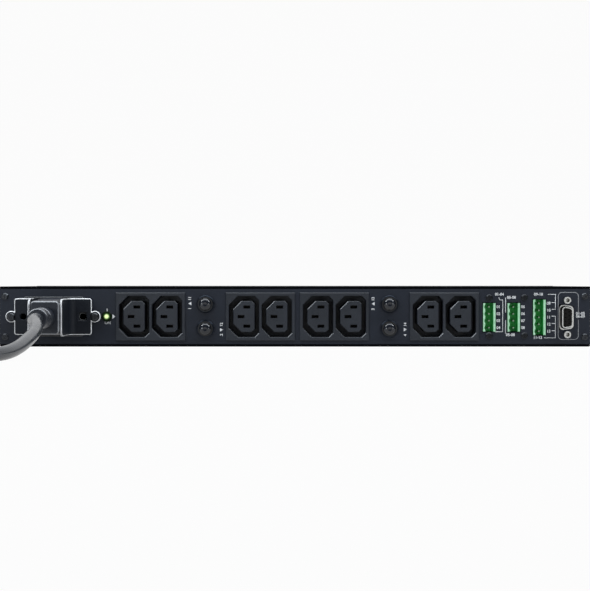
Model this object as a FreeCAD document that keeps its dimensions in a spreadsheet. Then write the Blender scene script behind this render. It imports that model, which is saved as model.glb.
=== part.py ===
"""Rack power conditioner, one rack unit high, used from its rear panel.

Millimetres, +Z up. The rear panel faces -Y, and +X is to the right of someone who looks at it. The origin lies on
the surface that the unit stands on, under the middle of its box without the mains cord.
"""

import FreeCAD, Part
import math
import os

import Sketcher

SIZES = {
    # Casing
    "chassis_width": 432.0,
    "chassis_height": 44.0,
    "chassis_depth": 280.0,
    "sheet": 1.2,
    "bend_radius": 1.6,
    "rear_panel_thickness": 1.5,
    "panel_gap": 0.6,
    "left_flange": 14.0,
    "right_flange": 9.6,
    "cover_lip": 12.0,
    "cover_fit": 0.2,
    "cover_edge": 0.9,
    "cover_screw_pitch": 95.0,
    "front_panel_width": 482.6,
    "front_panel_thickness": 3.0,
    "front_panel_edge": 0.5,
    "front_tap_depth": 2.1,
    "front_screw_inset": 26.0,
    "front_screw_rows": 26.0,
    "rack_slot_inset": 8.75,
    "rack_spacing_z": 31.75,
    "rack_slot_length": 10.3,
    "rack_slot_width": 6.8,
    "corner_inset_x": 4.2,
    "corner_inset_z": 7.2,
    # Screws, shared by every place that has one
    "screw_diameter": 2.9,
    "screw_clearance": 0.1,
    "screw_head": 4.8,
    "screw_head_height": 1.2,
    "screw_length": 4.0,
    "recess_reach": 1.5,
    "recess_width": 0.7,
    "recess_depth": 0.7,
    # Outlets
    "outlet_pitch": 24.0,
    "bezel_width": 50.7,
    "bezel_height": 35.0,
    "bezel_proud": 1.0,
    "bezel_edge": 0.4,
    "housing_width": 48.0,
    "housing_height": 32.6,
    "housing_depth": 26.0,
    "cutout_clearance": 0.3,
    "opening_width": 22.0,
    "opening_height": 30.0,
    "opening_earth_corner": 6.5,
    "opening_live_corner": 3.0,
    "core_width": 15.6,
    "core_height": 22.7,
    "core_earth_corner": 6.0,
    "core_live_corner": 2.0,
    "socket_depth": 17.0,
    "slot_width": 5.0,
    "slot_height": 2.3,
    "slot_offset": 2.1,
    "slot_pitch": 14.0,
    "contact_clearance": 0.15,
    "contact_leaf": 0.5,
    "contact_setback": 12.0,
    "contact_tail": 8.0,
    # Breakers
    "breaker_half_pitch": 9.0,
    "breaker_width": 14.0,
    "breaker_height": 17.0,
    "breaker_depth": 30.0,
    "bushing_diameter": 10.8,
    "bushing_proud": 3.6,
    "nut_diameter": 13.0,
    "nut_thickness": 2.2,
    "nut_edge": 0.6,
    "nut_clearance": 0.1,
    "button_diameter": 8.4,
    "button_proud": 2.6,
    "button_stem": 9.0,
    "button_clearance": 0.3,
    "button_edge": 1.0,
    # Indicator lamp
    "lamp_diameter": 6.0,
    "lamp_clearance": 0.05,
    "lamp_length": 7.0,
    "lamp_proud": 1.0,
    "lamp_holder_diameter": 7.8,
    "lamp_holder_neck": 7.0,
    "lamp_holder_proud": 0.9,
    "lamp_holder_depth": 9.0,
    # Inlet and retention brackets
    "inlet_flange_width": 48.0,
    "inlet_flange_height": 29.0,
    "inlet_flange_thickness": 2.4,
    "inlet_flange_corner": 3.0,
    "inlet_body_width": 20.4,
    "inlet_body_height": 27.4,
    "inlet_body_depth": 20.0,
    "inlet_cavity_depth": 16.4,
    "inlet_cavity_clearance": 0.3,
    "inlet_pin_width": 4.0,
    "inlet_pin_thickness": 2.0,
    "inlet_pin_setback": 3.0,
    "inlet_tail": 7.0,
    "inlet_screw_hole": 4.6,
    "bracket_sheet": 1.5,
    "bracket_bend": 5.0,
    "bracket_gap": 21.2,
    "bracket_width": 26.6,
    "bracket_reach": 37.0,
    "bracket_half_length": 28.2,
    "bracket_corner": 1.8,
    "bracket_arm_corner": 4.5,
    "bracket_hole_x": 21.6,
    "bracket_round_hole": 4.4,
    "bracket_square_hole": 5.6,
    "ear_inset": 9.4,
    "ear_x": 30.4,
    "ear_radius": 4.2,
    # Cord, its connector and its plug
    "connector_width": 20.6,
    "connector_height": 27.0,
    "connector_rear_width": 20.6,
    "connector_rear_height": 23.6,
    "connector_seat": 0.3,
    "connector_reach": 38.0,
    "connector_nose": 15.4,
    "connector_corner": 3.0,
    "relief_length": 27.0,
    "relief_base": 14.6,
    "relief_base_length": 14.5,
    "relief_groove_depth": 1.2,
    "relief_groove_width": 1.5,
    "relief_collar": 14.2,
    "relief_edge": 0.8,
    "cord_diameter": 8.5,
    "coil_radius": 47.0,
    "coil_edge": 3.8,
    "tie_thickness": 0.8,
    "tie_width": 9.0,
    "tie_clearance": 0.3,
    "plug_diameter": 37.0,
    "plug_edge": 1.0,
    "plug_front": 16.0,
    "plug_length": 40.0,
    "plug_neck": 17.0,
    "plug_relief": 20.0,
    "plug_relief_tip": 11.0,
    "plug_pin_diameter": 4.8,
    "plug_pin_edge": 1.0,
    "plug_pin_length": 19.0,
    "plug_pin_spacing": 19.0,
    # Terminal headers and their board
    "header_pitch": 5.08,
    "header_end": 0.2,
    "header_width": 9.0,
    "header_wall": 1.5,
    "header_depth": 12.0,
    "header_proud": 1.0,
    "header_floor": 3.4,
    "header_scallop": 2.2,
    "scallop_depth": 0.7,
    "header_clearance": 0.6,
    "header_drop": 0.6,
    "header_pin": 1.0,
    "header_pin_clearance": 0.05,
    "header_pin_setback": 2.5,
    "header_pin_tail": 2.0,
    "board_thickness": 1.6,
    "control_board_gap": 0.85,
    "control_board_margin": 8.0,
    "control_board_height": 35.0,
    "control_screw_half_pitch": 13.9,
    "spacer_diameter": 5.0,
    # Data socket
    "data_inset": 17.7,
    "data_shell_long": 16.4,
    "data_shell_short": 13.6,
    "data_shell_width": 7.9,
    "data_shell_wall": 0.8,
    "data_shell_proud": 5.0,
    "data_shell_corner": 2.4,
    "data_skirt": 1.3,
    "data_skirt_proud": 0.5,
    "data_skirt_corner": 2.8,
    "data_moat": 0.55,
    "data_flange_width": 12.5,
    "data_flange_height": 30.8,
    "data_flange_thickness": 0.9,
    "data_cutout_clearance": 1.4,
    "data_insert_setback": 0.4,
    "data_hole_pitch": 2.77,
    "data_column_pitch": 2.84,
    "data_hole_diameter": 1.1,
    "data_hole_depth": 6.0,
    "data_contact_diameter": 1.0,
    "data_contact_setback": 1.2,
    "jackscrew_spacing": 25.0,
    "jackscrew_flats": 4.4,
    "jackscrew_length": 5.0,
    "jackscrew_face": 0.6,
    "jackscrew_bore": 3.0,
    "jackscrew_bore_depth": 4.0,
    "jackscrew_shank": 6.0,
    # Power board and what stands on it
    "power_board_width": 300.0,
    "power_board_depth": 150.0,
    "power_board_setback": 70.0,
    "power_board_x": -20.0,
    "power_board_inset": 6.0,
    "standoff_height": 8.0,
    "standoff_diameter": 6.0,
    "relay_width": 30.0,
    "relay_depth": 18.0,
    "relay_height": 26.0,
    "relay_pitch": 44.0,
    "relay_row": 45.0,
    "relay_edge": 1.0,
    "choke_diameter": 40.0,
    "choke_bore": 18.0,
    "choke_height": 17.0,
    "choke_edge": 4.0,
    "choke_inset": 45.0,
    "component_row": 100.0,
    "capacitor_length": 31.0,
    "capacitor_width": 13.0,
    "capacitor_height": 23.0,
    "capacitor_pitch": 22.0,
    "capacitor_x": -82.0,
    "varistor_diameter": 20.0,
    "varistor_thickness": 5.0,
    "varistor_pitch": 14.0,
    "varistor_x": -36.0,
    "varistor_lift": 3.0,
    "varistor_leg": 1.0,
    "varistor_leg_spacing": 7.5,
    "transformer_width": 44.0,
    "transformer_depth": 18.0,
    "transformer_height": 28.0,
    "transformer_x": 60.0,
    "winding_width": 30.0,
    "winding_depth": 36.0,
    "winding_height": 20.0,
    "terminal_width": 22.0,
    "terminal_depth": 10.0,
    "terminal_height": 12.0,
    "terminal_edge": 1.0,
    "input_terminal_x": -130.0,
    "lead_diameter": 3.2,
    "lead_pitch": 7.0,
    "lead_straight": 14.0,
    "earth_stud_diameter": 4.0,
    "earth_stud_height": 12.0,
    "earth_stud_inset": 26.0,
    "earth_stud_setback": 45.0,
    "earth_nut_flats": 7.0,
    "earth_nut_height": 3.2,
}

# Route of the mains cord from its exit: steps to the right and out of the panel, and the share of its drop to the
# floor that is still to come.
CORD_ROUTE = [
    (0.0, 0.0, 1.0),
    (0.0, 16.3, 1.0),
    (5.2, 32.5, 0.89),
    (8.8, 48.7, 0.739),
    (10.4, 67.2, 0.555),
    (10.1, 86.8, 0.371),
    (8.8, 105.5, 0.179),
    (5.4, 123.6, 0.036),
    (-3.2, 142.1, 0.0),
    (-14.1, 155.3, 0.0),
    (-38.8, 170.0, 0.01),
    (-60.3, 172.5, 0.03),
    (-82.3, 172.5, 0.045),
]

# Route of the cord from the coil to the mains plug: steps to the right and away from the viewer, and the share of
# its rise to the plug's axis.
TAIL_ROUTE = [
    (0.0, 0.0, 0.0),
    (-0.4, 16.0, 0.12),
    (0.0, 33.0, 1.0),
    (0.0, 50.0, 1.0),
]

# Turns in each of the coil's layers, and its layers
COIL_LAYER_TURNS = 2.625
COIL_LAYERS = 2

# Share of a run that an arc may take at each of its ends
ARC_SHARE = 0.45

# Share of a screw head's diameter that is flat at its top
HEAD_FLAT = 0.72

# Gaps in the row between the inlet's right ear and the data socket, from the left, in proportion to one another
ROW_GAPS = [0.2, 2.7, 7.8, 7.8, 3.4, 7.8, 7.8, 3.0, 8.9, 9.7, 9.05]

# Share of the way from the second header to the third where the control board's far screws are
CONTROL_SCREW_SHARE = 0.417

DOC = FreeCAD.newDocument("rack_power_conditioner")
SHEET = DOC.addObject("Spreadsheet::Sheet", "Sizes")
NODES = []


class Length:
    """A size in millimetres, with its value and the sheet formula that gives it."""

    def __init__(self, value, formula):
        self.value = value
        self.formula = formula

    def __add__(self, other):
        other = length(other)
        return Length(self.value + other.value, f"({self.formula} + {other.formula})")

    def __sub__(self, other):
        other = length(other)
        return Length(self.value - other.value, f"({self.formula} - {other.formula})")

    def __mul__(self, factor):
        return Length(self.value * factor, f"({self.formula} * {factor})")

    def __truediv__(self, divisor):
        return Length(self.value / divisor, f"({self.formula} / {divisor})")

    def __neg__(self):
        return self * -1

    def __rsub__(self, other):
        return length(other) - self

    __radd__ = __add__
    __rmul__ = __mul__


class Sizes:
    """The sheet's cells by alias."""

    def __init__(self, table):
        self.rows = 0
        for alias, value in table.items():
            self.add(alias, str(value), value)
        DOC.recompute()

    def add(self, alias, text, value):
        """Fills the next row and names its cell."""
        self.rows += 1
        SHEET.set(f"A{self.rows}", alias)
        SHEET.set(f"B{self.rows}", text)
        SHEET.setAlias(f"B{self.rows}", alias)
        setattr(self, alias, Length(value, f"Sizes.{alias}"))

    def derive(self, alias, size):
        """Adds a cell that follows from other cells."""
        self.add(alias, "=" + size.formula.replace("Sizes.", ""), size.value)
        return getattr(self, alias)


def length(size):
    """Gives a plain number as a Length, and a Length as it is."""
    if isinstance(size, Length):
        return size
    return Length(float(size), str(float(size)))


def bind(item, name, size):
    """Ties a property of a document object to the sheet."""
    item.setExpression(name, length(size).formula)


def place(item, x, y, z):
    """Ties the place of a document object to the sheet."""
    for axis, size in zip("xyz", (x, y, z)):
        bind(item, f"Placement.Base.{axis}", size)


class Profile:
    """A sketch on one of a body's own origin planes, with every point tied to the sheet."""

    def __init__(self, body, plane, offset=0):
        self.sketch = body.newObject("Sketcher::SketchObject", f"{body.Name}_profile")
        support = [item for item in body.Origin.OriginFeatures if item.Role == plane][0]
        self.sketch.AttachmentSupport = [(support, "")]
        self.sketch.MapMode = "FlatFace"
        bind(self.sketch, "AttachmentOffset.Base.z", offset)

    def pin(self, curve, point, place_of_point):
        """Ties one point of a curve to its two coordinates."""
        for kind, size in zip(("DistanceX", "DistanceY"), place_of_point):
            rule = Sketcher.Constraint(kind, -1, 1, curve, point, size.value)
            self.tie(rule, size)

    def tie(self, rule, size):
        """Adds a dimension and ties it to the sheet."""
        index = self.sketch.addConstraint(rule)
        self.sketch.setExpression(f"Constraints[{index}]", size.formula)

    def polygon(self, points):
        """Draws a closed outline through the points."""
        corners = [(length(x), length(y)) for x, y in points]
        vectors = [FreeCAD.Vector(x.value, y.value, 0) for x, y in corners]
        ends = vectors[1:] + vectors[:1]
        lines = [Part.LineSegment(start, end) for start, end in zip(vectors, ends)]
        first = self.sketch.GeometryCount
        self.sketch.addGeometry(lines, False)
        count = len(lines)
        joints = [
            Sketcher.Constraint("Coincident", first + i, 2, first + (i + 1) % count, 1) for i in range(count)
        ]
        self.sketch.addConstraint(joints)
        for i, corner in enumerate(corners):
            self.pin(first + i, 1, corner)
        return self

    def rectangle(self, x, y, width, height):
        """Draws a rectangle about a centre."""
        x, y, half_width, half_height = length(x), length(y), length(width) / 2, length(height) / 2
        left, right = x - half_width, x + half_width
        low, high = y - half_height, y + half_height
        return self.polygon([(left, low), (right, low), (right, high), (left, high)])

    def circle(self, x, y, radius):
        """Draws a circle about a centre."""
        x, y, radius = length(x), length(y), length(radius)
        middle = FreeCAD.Vector(x.value, y.value, 0)
        curve = self.sketch.addGeometry(Part.Circle(middle, FreeCAD.Vector(0, 0, 1), radius.value), False)
        self.pin(curve, 3, (x, y))
        self.tie(Sketcher.Constraint("Radius", curve, radius.value), radius)
        return self


def new_body(name):
    """Makes an empty body."""
    body = DOC.addObject("PartDesign::Body", name)
    body.Label = name
    return body


def node(item):
    """Lists a finished object as a piece of the unit."""
    NODES.append(item)
    return item


def pad(body, profile, size, reverse=False):
    """Adds material along the profile's normal, or against it."""
    feature = body.newObject("PartDesign::Pad", f"{body.Name}_pad")
    feature.Profile = profile.sketch
    feature.Reversed = reverse
    bind(feature, "Length", size)
    DOC.recompute()


def pocket(body, profile, size, reverse=False):
    """Cuts against the profile's normal, or along it, and makes sure that something was cut."""
    before = body.Shape.Volume
    feature = body.newObject("PartDesign::Pocket", f"{body.Name}_pocket")
    feature.Profile = profile.sketch
    feature.Reversed = reverse
    bind(feature, "Length", size)
    DOC.recompute()
    if not body.Shape.Volume < before:
        raise RuntimeError(f"{feature.Name} cut nothing")


def revolve(body, profile, axis="V_Axis"):
    """Turns the profile about one of its own axes."""
    feature = body.newObject("PartDesign::Revolution", f"{body.Name}_turn")
    feature.Profile = profile.sketch
    feature.ReferenceAxis = (profile.sketch, [axis])
    feature.Angle = 360
    DOC.recompute()


def edge_names(shape, wanted):
    """Lists the names of the edges that a test accepts."""
    return [f"Edge{i}" for i, edge in enumerate(shape.Edges, start=1) if wanted(edge)]


def dress(body, kind, dimension, size, wanted):
    """Rounds or bevels the edges that a test accepts."""
    base = body.Tip
    names = edge_names(base.Shape, wanted)
    feature = body.newObject(f"PartDesign::{kind}", f"{body.Name}_{kind.lower()}")
    feature.Base = (base, names)
    bind(feature, dimension, size)
    DOC.recompute()


def round_edges(body, radius, wanted):
    """Rounds the edges that a test accepts."""
    dress(body, "Fillet", "Radius", radius, wanted)


def bevel_edges(body, size, wanted):
    """Bevels the edges that a test accepts."""
    dress(body, "Chamfer", "Size", size, wanted)


def near(value, size):
    """Tells whether a coordinate is at a size."""
    return abs(value - length(size).value) < 1e-4


def flat_at(edge, axis, size):
    """Tells whether a whole edge lies at one coordinate of an axis."""
    box = edge.BoundBox
    return near(getattr(box, f"{axis}Min"), size) and near(getattr(box, f"{axis}Max"), size)


def runs_along(edge, axis):
    """Tells whether an edge is a straight line along an axis."""
    box = edge.BoundBox
    others = [name for name in "XYZ" if name != axis]
    return all(getattr(box, f"{name}Length") < 1e-4 for name in others)


def cut_corners(x, width, height, left_corner, right_corner):
    """Gives the outline of a rectangle with its four corners cut, upright about a centre on the X axis."""
    half_width, half_height = width / 2, height / 2
    left, right = x - half_width, x + half_width
    return [
        (left, half_height - left_corner),
        (left, left_corner - half_height),
        (left + left_corner, -half_height),
        (right - right_corner, -half_height),
        (right, right_corner - half_height),
        (right, half_height - right_corner),
        (right - right_corner, half_height),
        (left + left_corner, half_height),
    ]


def group(name, master, places, turn_degrees=None):
    """Makes one piece of several equal solids, each a copy of the master at a place."""
    copies = []
    turns = turn_degrees or [0] * len(places)
    for i, (spot, turn) in enumerate(zip(places, turns), start=1):
        copy = DOC.addObject("App::Link", f"{name}_{i}")
        copy.LinkedObject = master
        copy.Placement = FreeCAD.Placement(FreeCAD.Vector(), FreeCAD.Rotation(FreeCAD.Vector(0, 0, 1), turn))
        place(copy, *spot)
        copies.append(copy)
    compound = DOC.addObject("Part::Compound", name)
    compound.Label = name
    compound.Links = copies
    DOC.recompute()
    return node(compound)


def cuboid(name, width, depth, height):
    """Makes a box that stands at Z 0 about the Z axis."""
    block = DOC.addObject("Part::Box", name)
    block.Label = name
    bind(block, "Length", width)
    bind(block, "Width", depth)
    bind(block, "Height", height)
    place(block, -width / 2, -depth / 2, 0)
    DOC.recompute()
    return block


def rod(name, radius, height):
    """Makes a cylinder that stands at Z 0 about the Z axis."""
    cylinder = DOC.addObject("Part::Cylinder", name)
    bind(cylinder, "Radius", radius)
    bind(cylinder, "Height", height)
    DOC.recompute()
    return cylinder


def join(name, items):
    """Fuses Part objects into one."""
    fusion = DOC.addObject("Part::MultiFuse", name)
    fusion.Label = name
    fusion.Shapes = items
    DOC.recompute()
    return fusion


s = Sizes(SIZES)

# Places in the row along the rear panel, from the left
s.derive("inlet_x", s.ear_inset + s.ear_x - s.chassis_width / 2)
s.derive("data_x", s.chassis_width / 2 - s.data_inset)
row = [
    ("lamp_x", s.lamp_holder_diameter),
    ("pair_one_x", s.bezel_width),
    ("breakers_one_x", s.breaker_width),
    ("pair_two_x", s.bezel_width),
    ("pair_three_x", s.bezel_width),
    ("breakers_two_x", s.breaker_width),
    ("pair_four_x", s.bezel_width),
    ("header_one_x", s.header_width),
    ("header_two_x", s.header_width),
    ("header_three_x", s.header_width),
]
row_start = s.inlet_x + s.ear_x + s.ear_radius
row_end = s.data_x - s.data_flange_width / 2
s.derive("row_free", row_end - row_start - sum(width for _, width in row))
row_edge = row_start
for (place_name, width), gap in zip(row, ROW_GAPS):
    middle = s.derive(place_name, row_edge + s.row_free * (gap / sum(ROW_GAPS)) + width / 2)
    row_edge = middle + width / 2
DOC.recompute()

# Main planes and middles that the pieces share
rear_y = (s.connector_reach + s.relief_length - s.front_panel_thickness - s.chassis_depth) / 2
front_y = rear_y + s.chassis_depth
mid_z = s.chassis_height / 2
screw_hole = s.screw_diameter / 2 + s.screw_clearance
corner_x = s.chassis_width / 2 - s.corner_inset_x
corner_z = mid_z - s.corner_inset_z
corner_spots = [(side * corner_x, level * corner_z) for side in (-1, 1) for level in (-1, 1)]
pair_middles = [s.pair_one_x, s.pair_two_x, s.pair_three_x, s.pair_four_x]
breaker_columns = [s.breakers_one_x, s.breakers_two_x]
breaker_spots = [(x, level * s.breaker_half_pitch) for x in breaker_columns for level in (1, -1)]
header_ways = [(s.header_one_x, 4), (s.header_two_x, 4), (s.header_three_x, 5)]
far_screw_x = s.header_two_x + (s.header_three_x - s.header_two_x) * CONTROL_SCREW_SHARE
control_screw_spots = [
    (x, level * s.control_screw_half_pitch) for x in (s.header_one_x, far_screw_x) for level in (-1, 1)
]
jackscrew_spots = [(s.data_x, level * s.jackscrew_spacing / 2 - s.header_drop) for level in (-1, 1)]
ear_spots = [(s.inlet_x + side * s.ear_x, length(0)) for side in (-1, 1)]
inlet_screw_spots = [(side * s.bracket_hole_x, length(0)) for side in (-1, 1)]
cover_screw_rows = [s.chassis_depth / 2 + step * s.cover_screw_pitch for step in (-1, 0, 1)]
cover_screw_z = s.chassis_height - s.sheet - s.cover_lip / 2
front_screw_x = s.chassis_width / 2 - s.front_screw_inset
front_screw_spots = [
    (side * front_screw_x, level * s.front_screw_rows / 2) for side in (-1, 1) for level in (-1, 1)
]


def header_length(ways):
    """Gives the length of a terminal header."""
    return ways * s.header_pitch + 2 * s.header_end


def header_rows(ways):
    """Gives the heights of a header's ways about the panel's middle."""
    return [(step - (ways - 1) / 2) * s.header_pitch - s.header_drop for step in range(ways)]


def data_outline(grow):
    """Gives the data socket's D outline, with its long side to the left, grown all round."""
    left, right = -s.data_shell_width / 2 - grow, s.data_shell_width / 2 + grow
    long_half, short_half = s.data_shell_long / 2 + grow, s.data_shell_short / 2 + grow
    return [
        (s.data_x + left, -long_half - s.header_drop),
        (s.data_x + right, -short_half - s.header_drop),
        (s.data_x + right, short_half - s.header_drop),
        (s.data_x + left, long_half - s.header_drop),
    ]


def data_holes():
    """Gives the nine holes of the data socket: five at the long side and four at the short one."""
    columns = [(-s.data_column_pitch / 2, 5), (s.data_column_pitch / 2, 4)]
    return [
        (s.data_x + x, (step - (count - 1) / 2) * s.data_hole_pitch - s.header_drop)
        for x, count in columns
        for step in range(count)
    ]


def make_screw(name, head, head_height, shank, shank_length, reach, depth):
    """Makes a pan-head screw with a cross recess, its head towards -Y and its seat at Y 0."""
    body = new_body(name)
    profile = Profile(body, "XY_Plane")
    profile.polygon([
        (0, -head_height),
        (head / 2 * HEAD_FLAT, -head_height),
        (head / 2, -head_height / 2),
        (head / 2, 0),
        (shank / 2, 0),
        (shank / 2, shank_length),
        (0, shank_length),
    ])
    revolve(body, profile)
    half = s.recess_width / 2
    cross = Profile(body, "XZ_Plane", head_height)
    cross.polygon([
        (half, half), (reach, half), (reach, -half), (half, -half), (half, -reach), (-half, -reach),
        (-half, -half), (-reach, -half), (-reach, half), (-half, half), (-half, reach), (half, reach),
    ])
    pocket(body, cross, depth)
    return body


def make_chassis_tray():
    """Folds the tray: floor, sides, front wall and the two rear flanges that the rear panel lies against."""
    body = new_body("chassis_tray")
    wall_height = s.chassis_height - 2 * s.sheet
    inside_width = s.chassis_width - 2 * s.sheet
    flange_inside = s.rear_panel_thickness + s.sheet
    inside_depth = s.chassis_depth - flange_inside - s.sheet
    outline = Profile(body, "XY_Plane")
    outline.rectangle(0, s.chassis_depth / 2, s.chassis_width, s.chassis_depth)
    pad(body, outline, s.chassis_height - s.sheet)
    hollow = Profile(body, "XY_Plane", s.chassis_height - s.sheet)
    hollow.rectangle(0, flange_inside + inside_depth / 2, inside_width, inside_depth)
    pocket(body, hollow, wall_height)
    window = Profile(body, "XZ_Plane", -s.rear_panel_thickness)
    window_width = s.chassis_width - s.left_flange - s.right_flange
    window_x = (s.left_flange - s.right_flange) / 2
    window.rectangle(window_x, s.sheet + wall_height / 2, window_width, wall_height)
    for x, z in corner_spots:
        window.circle(x, z + mid_z, screw_hole)
    left_ear_x, left_ear_z = ear_spots[0]
    window.circle(left_ear_x, left_ear_z + mid_z, screw_hole)
    pocket(body, window, s.sheet)
    front_holes = Profile(body, "XZ_Plane", s.sheet - s.chassis_depth)
    for x, z in front_screw_spots:
        front_holes.circle(x, z + mid_z, screw_hole)
    pocket(body, front_holes, s.sheet)
    for side in (-1, 1):
        holes = Profile(body, "YZ_Plane", side * s.chassis_width / 2)
        for y in cover_screw_rows:
            holes.circle(y, cover_screw_z, screw_hole)
        pocket(body, holes, s.sheet, reverse=side < 0)
    round_edges(
        body,
        s.bend_radius,
        lambda edge: runs_along(edge, "Y") and flat_at(edge, "Z", 0) and abs(edge.BoundBox.XMin) > 1,
    )
    recess = Profile(body, "XY_Plane", s.chassis_height - s.sheet)
    recess.rectangle(0, s.rear_panel_thickness / 2, s.chassis_width + s.sheet, s.rear_panel_thickness)
    pocket(body, recess, wall_height)
    place(body, 0, rear_y, 0)
    return node(body)


def make_rear_panel():
    """Cuts the flat rear panel, with an opening for everything that comes through it."""
    body = new_body("rear_panel")
    rim = s.sheet + s.panel_gap
    plate = Profile(body, "XZ_Plane")
    plate.rectangle(0, 0, s.chassis_width, s.chassis_height - 2 * rim)
    pad(body, plate, s.rear_panel_thickness, reverse=True)
    windows = Profile(body, "XZ_Plane")
    for x in pair_middles:
        width = s.housing_width + 2 * s.cutout_clearance
        windows.rectangle(x, 0, width, s.housing_height + 2 * s.cutout_clearance)
    inlet_width = s.inlet_body_width + 2 * s.cutout_clearance
    windows.rectangle(s.inlet_x, 0, inlet_width, s.inlet_body_height + 2 * s.cutout_clearance)
    for x, ways in header_ways:
        size = header_length(ways) + 2 * s.header_clearance
        windows.rectangle(x, -s.header_drop, s.header_width + 2 * s.header_clearance, size)
    windows.polygon(data_outline(s.data_cutout_clearance))
    pocket(body, windows, s.rear_panel_thickness)
    holes = Profile(body, "XZ_Plane")
    for x, z in breaker_spots:
        holes.circle(x, z, s.bushing_diameter / 2 + s.cutout_clearance)
    for x, z in corner_spots + control_screw_spots + jackscrew_spots + ear_spots:
        holes.circle(x, z, screw_hole)
    for x, z in inlet_screw_spots:
        holes.circle(s.inlet_x + x, z, s.inlet_screw_hole / 2)
    holes.circle(s.lamp_x, 0, s.lamp_holder_neck / 2 + s.cutout_clearance)
    pocket(body, holes, s.rear_panel_thickness)
    place(body, 0, rear_y, mid_z)
    return node(body)


def make_top_cover():
    """Folds the lid: a flat top on the tray's walls and a lip down inside each side."""
    body = new_body("top_cover")
    top = Profile(body, "XY_Plane")
    top.rectangle(0, s.chassis_depth / 2, s.chassis_width, s.chassis_depth)
    pad(body, top, s.sheet)
    lip_x = s.chassis_width / 2 - s.sheet - s.cover_fit - s.sheet / 2
    lip_depth = s.chassis_depth - 2 * s.left_flange
    lips = Profile(body, "XY_Plane")
    for side in (-1, 1):
        lips.rectangle(side * lip_x, s.chassis_depth / 2, s.sheet, lip_depth)
    pad(body, lips, s.cover_lip, reverse=True)
    for side in (-1, 1):
        holes = Profile(body, "YZ_Plane", side * (lip_x + s.sheet / 2))
        for y in cover_screw_rows:
            holes.circle(y, -s.cover_lip / 2, screw_hole)
        pocket(body, holes, s.sheet, reverse=side < 0)
    round_edges(
        body,
        s.cover_edge,
        lambda edge: runs_along(edge, "Y") and flat_at(edge, "Z", s.sheet),
    )
    place(body, 0, rear_y, s.chassis_height - s.sheet)
    return node(body)


def make_front_panel():
    """Cuts the front plate, with its rack ears and their four slots."""
    body = new_body("front_panel")
    plate = Profile(body, "XZ_Plane")
    plate.rectangle(0, 0, s.front_panel_width, s.chassis_height)
    pad(body, plate, s.front_panel_thickness, reverse=True)
    bevel_edges(body, s.front_panel_edge, lambda edge: flat_at(edge, "Y", s.front_panel_thickness))
    slot_x = s.front_panel_width / 2 - s.rack_slot_inset
    spots = [(side * slot_x, level * s.rack_spacing_z / 2) for side in (-1, 1) for level in (-1, 1)]
    straight = s.rack_slot_length - s.rack_slot_width
    middles = Profile(body, "XZ_Plane")
    ends = Profile(body, "XZ_Plane")
    for x, z in spots:
        middles.rectangle(x, z, straight, s.rack_slot_width)
        for side in (-1, 1):
            ends.circle(x + side * straight / 2, z, s.rack_slot_width / 2)
    pocket(body, middles, s.front_panel_thickness)
    pocket(body, ends, s.front_panel_thickness)
    taps = Profile(body, "XZ_Plane")
    for x, z in front_screw_spots:
        taps.circle(x, z, screw_hole)
    pocket(body, taps, s.front_tap_depth)
    place(body, 0, front_y, mid_z)
    return node(body)


def make_casing_screws():
    """Makes the pan-head screws that hold the casing together, one group for each kind of place."""
    screw = make_screw(
        "pan_head_screw", s.screw_head, s.screw_head_height, s.screw_diameter, s.screw_length,
        s.recess_reach, s.recess_depth,
    )
    group("rear_panel_screws", screw, [(x, rear_y, z + mid_z) for x, z in corner_spots])
    side_spots = [
        (side * s.chassis_width / 2, rear_y + y, cover_screw_z) for side in (-1, 1) for y in cover_screw_rows
    ]
    group("cover_screws", screw, side_spots, [-90] * 3 + [90] * 3)
    short_screw = make_screw(
        "front_panel_screw", s.screw_head, s.screw_head_height, s.screw_diameter,
        s.sheet + s.front_tap_depth - s.screw_clearance, s.recess_reach, s.recess_depth,
    )
    group("front_panel_screws", short_screw, [(x, front_y - s.sheet, z + mid_z) for x, z in front_screw_spots])
    group("bracket_screws", make_screw(
        "bracket_screw", s.screw_head * 1.2, s.screw_head_height * 1.5, s.screw_diameter,
        s.bracket_sheet + s.inlet_flange_thickness + s.rear_panel_thickness + s.screw_length,
        s.recess_reach * 1.2, s.recess_depth,
    ), [(x, rear_y - s.inlet_flange_thickness - s.bracket_sheet, z + mid_z) for x, z in ear_spots])
    group("control_board_screws", screw, [(x, rear_y, z + mid_z) for x, z in control_screw_spots])


def make_outlet_pair(number, x):
    """Moulds a twin outlet: a bezel, a housing behind the panel and two grooved, slotted sockets."""
    body = new_body(f"outlet_pair_{number}")
    bezel = Profile(body, "XZ_Plane")
    bezel.rectangle(0, 0, s.bezel_width, s.bezel_height)
    pad(body, bezel, s.bezel_proud)
    housing = Profile(body, "XZ_Plane")
    housing.rectangle(0, 0, s.housing_width, s.housing_height)
    pad(body, housing, s.housing_depth, reverse=True)
    grooves = Profile(body, "XZ_Plane", s.bezel_proud)
    slots = Profile(body, "XZ_Plane", s.bezel_proud)
    for side in (-1, 1):
        middle = side * s.outlet_pitch / 2
        grooves.polygon(cut_corners(
            middle, s.opening_width, s.opening_height, s.opening_earth_corner, s.opening_live_corner,
        ))
        grooves.polygon(cut_corners(
            middle, s.core_width, s.core_height, s.core_earth_corner, s.core_live_corner,
        ))
        for slot_x, slot_z in slot_spots(middle):
            slots.rectangle(slot_x, slot_z, s.slot_width, s.slot_height)
    pocket(body, grooves, s.socket_depth)
    bevel_edges(body, s.bezel_edge, lambda edge: flat_at(edge, "Y", -s.bezel_proud))
    pocket(body, slots, s.bezel_proud + s.housing_depth)
    place(body, x, rear_y, mid_z)
    return node(body)


def slot_spots(middle):
    """Gives the places of a socket's three slots: two live ones at the right and earth at the left."""
    return [
        (middle + s.slot_offset, s.slot_pitch / 2),
        (middle + s.slot_offset, -s.slot_pitch / 2),
        (middle - s.slot_offset, length(0)),
    ]


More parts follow.
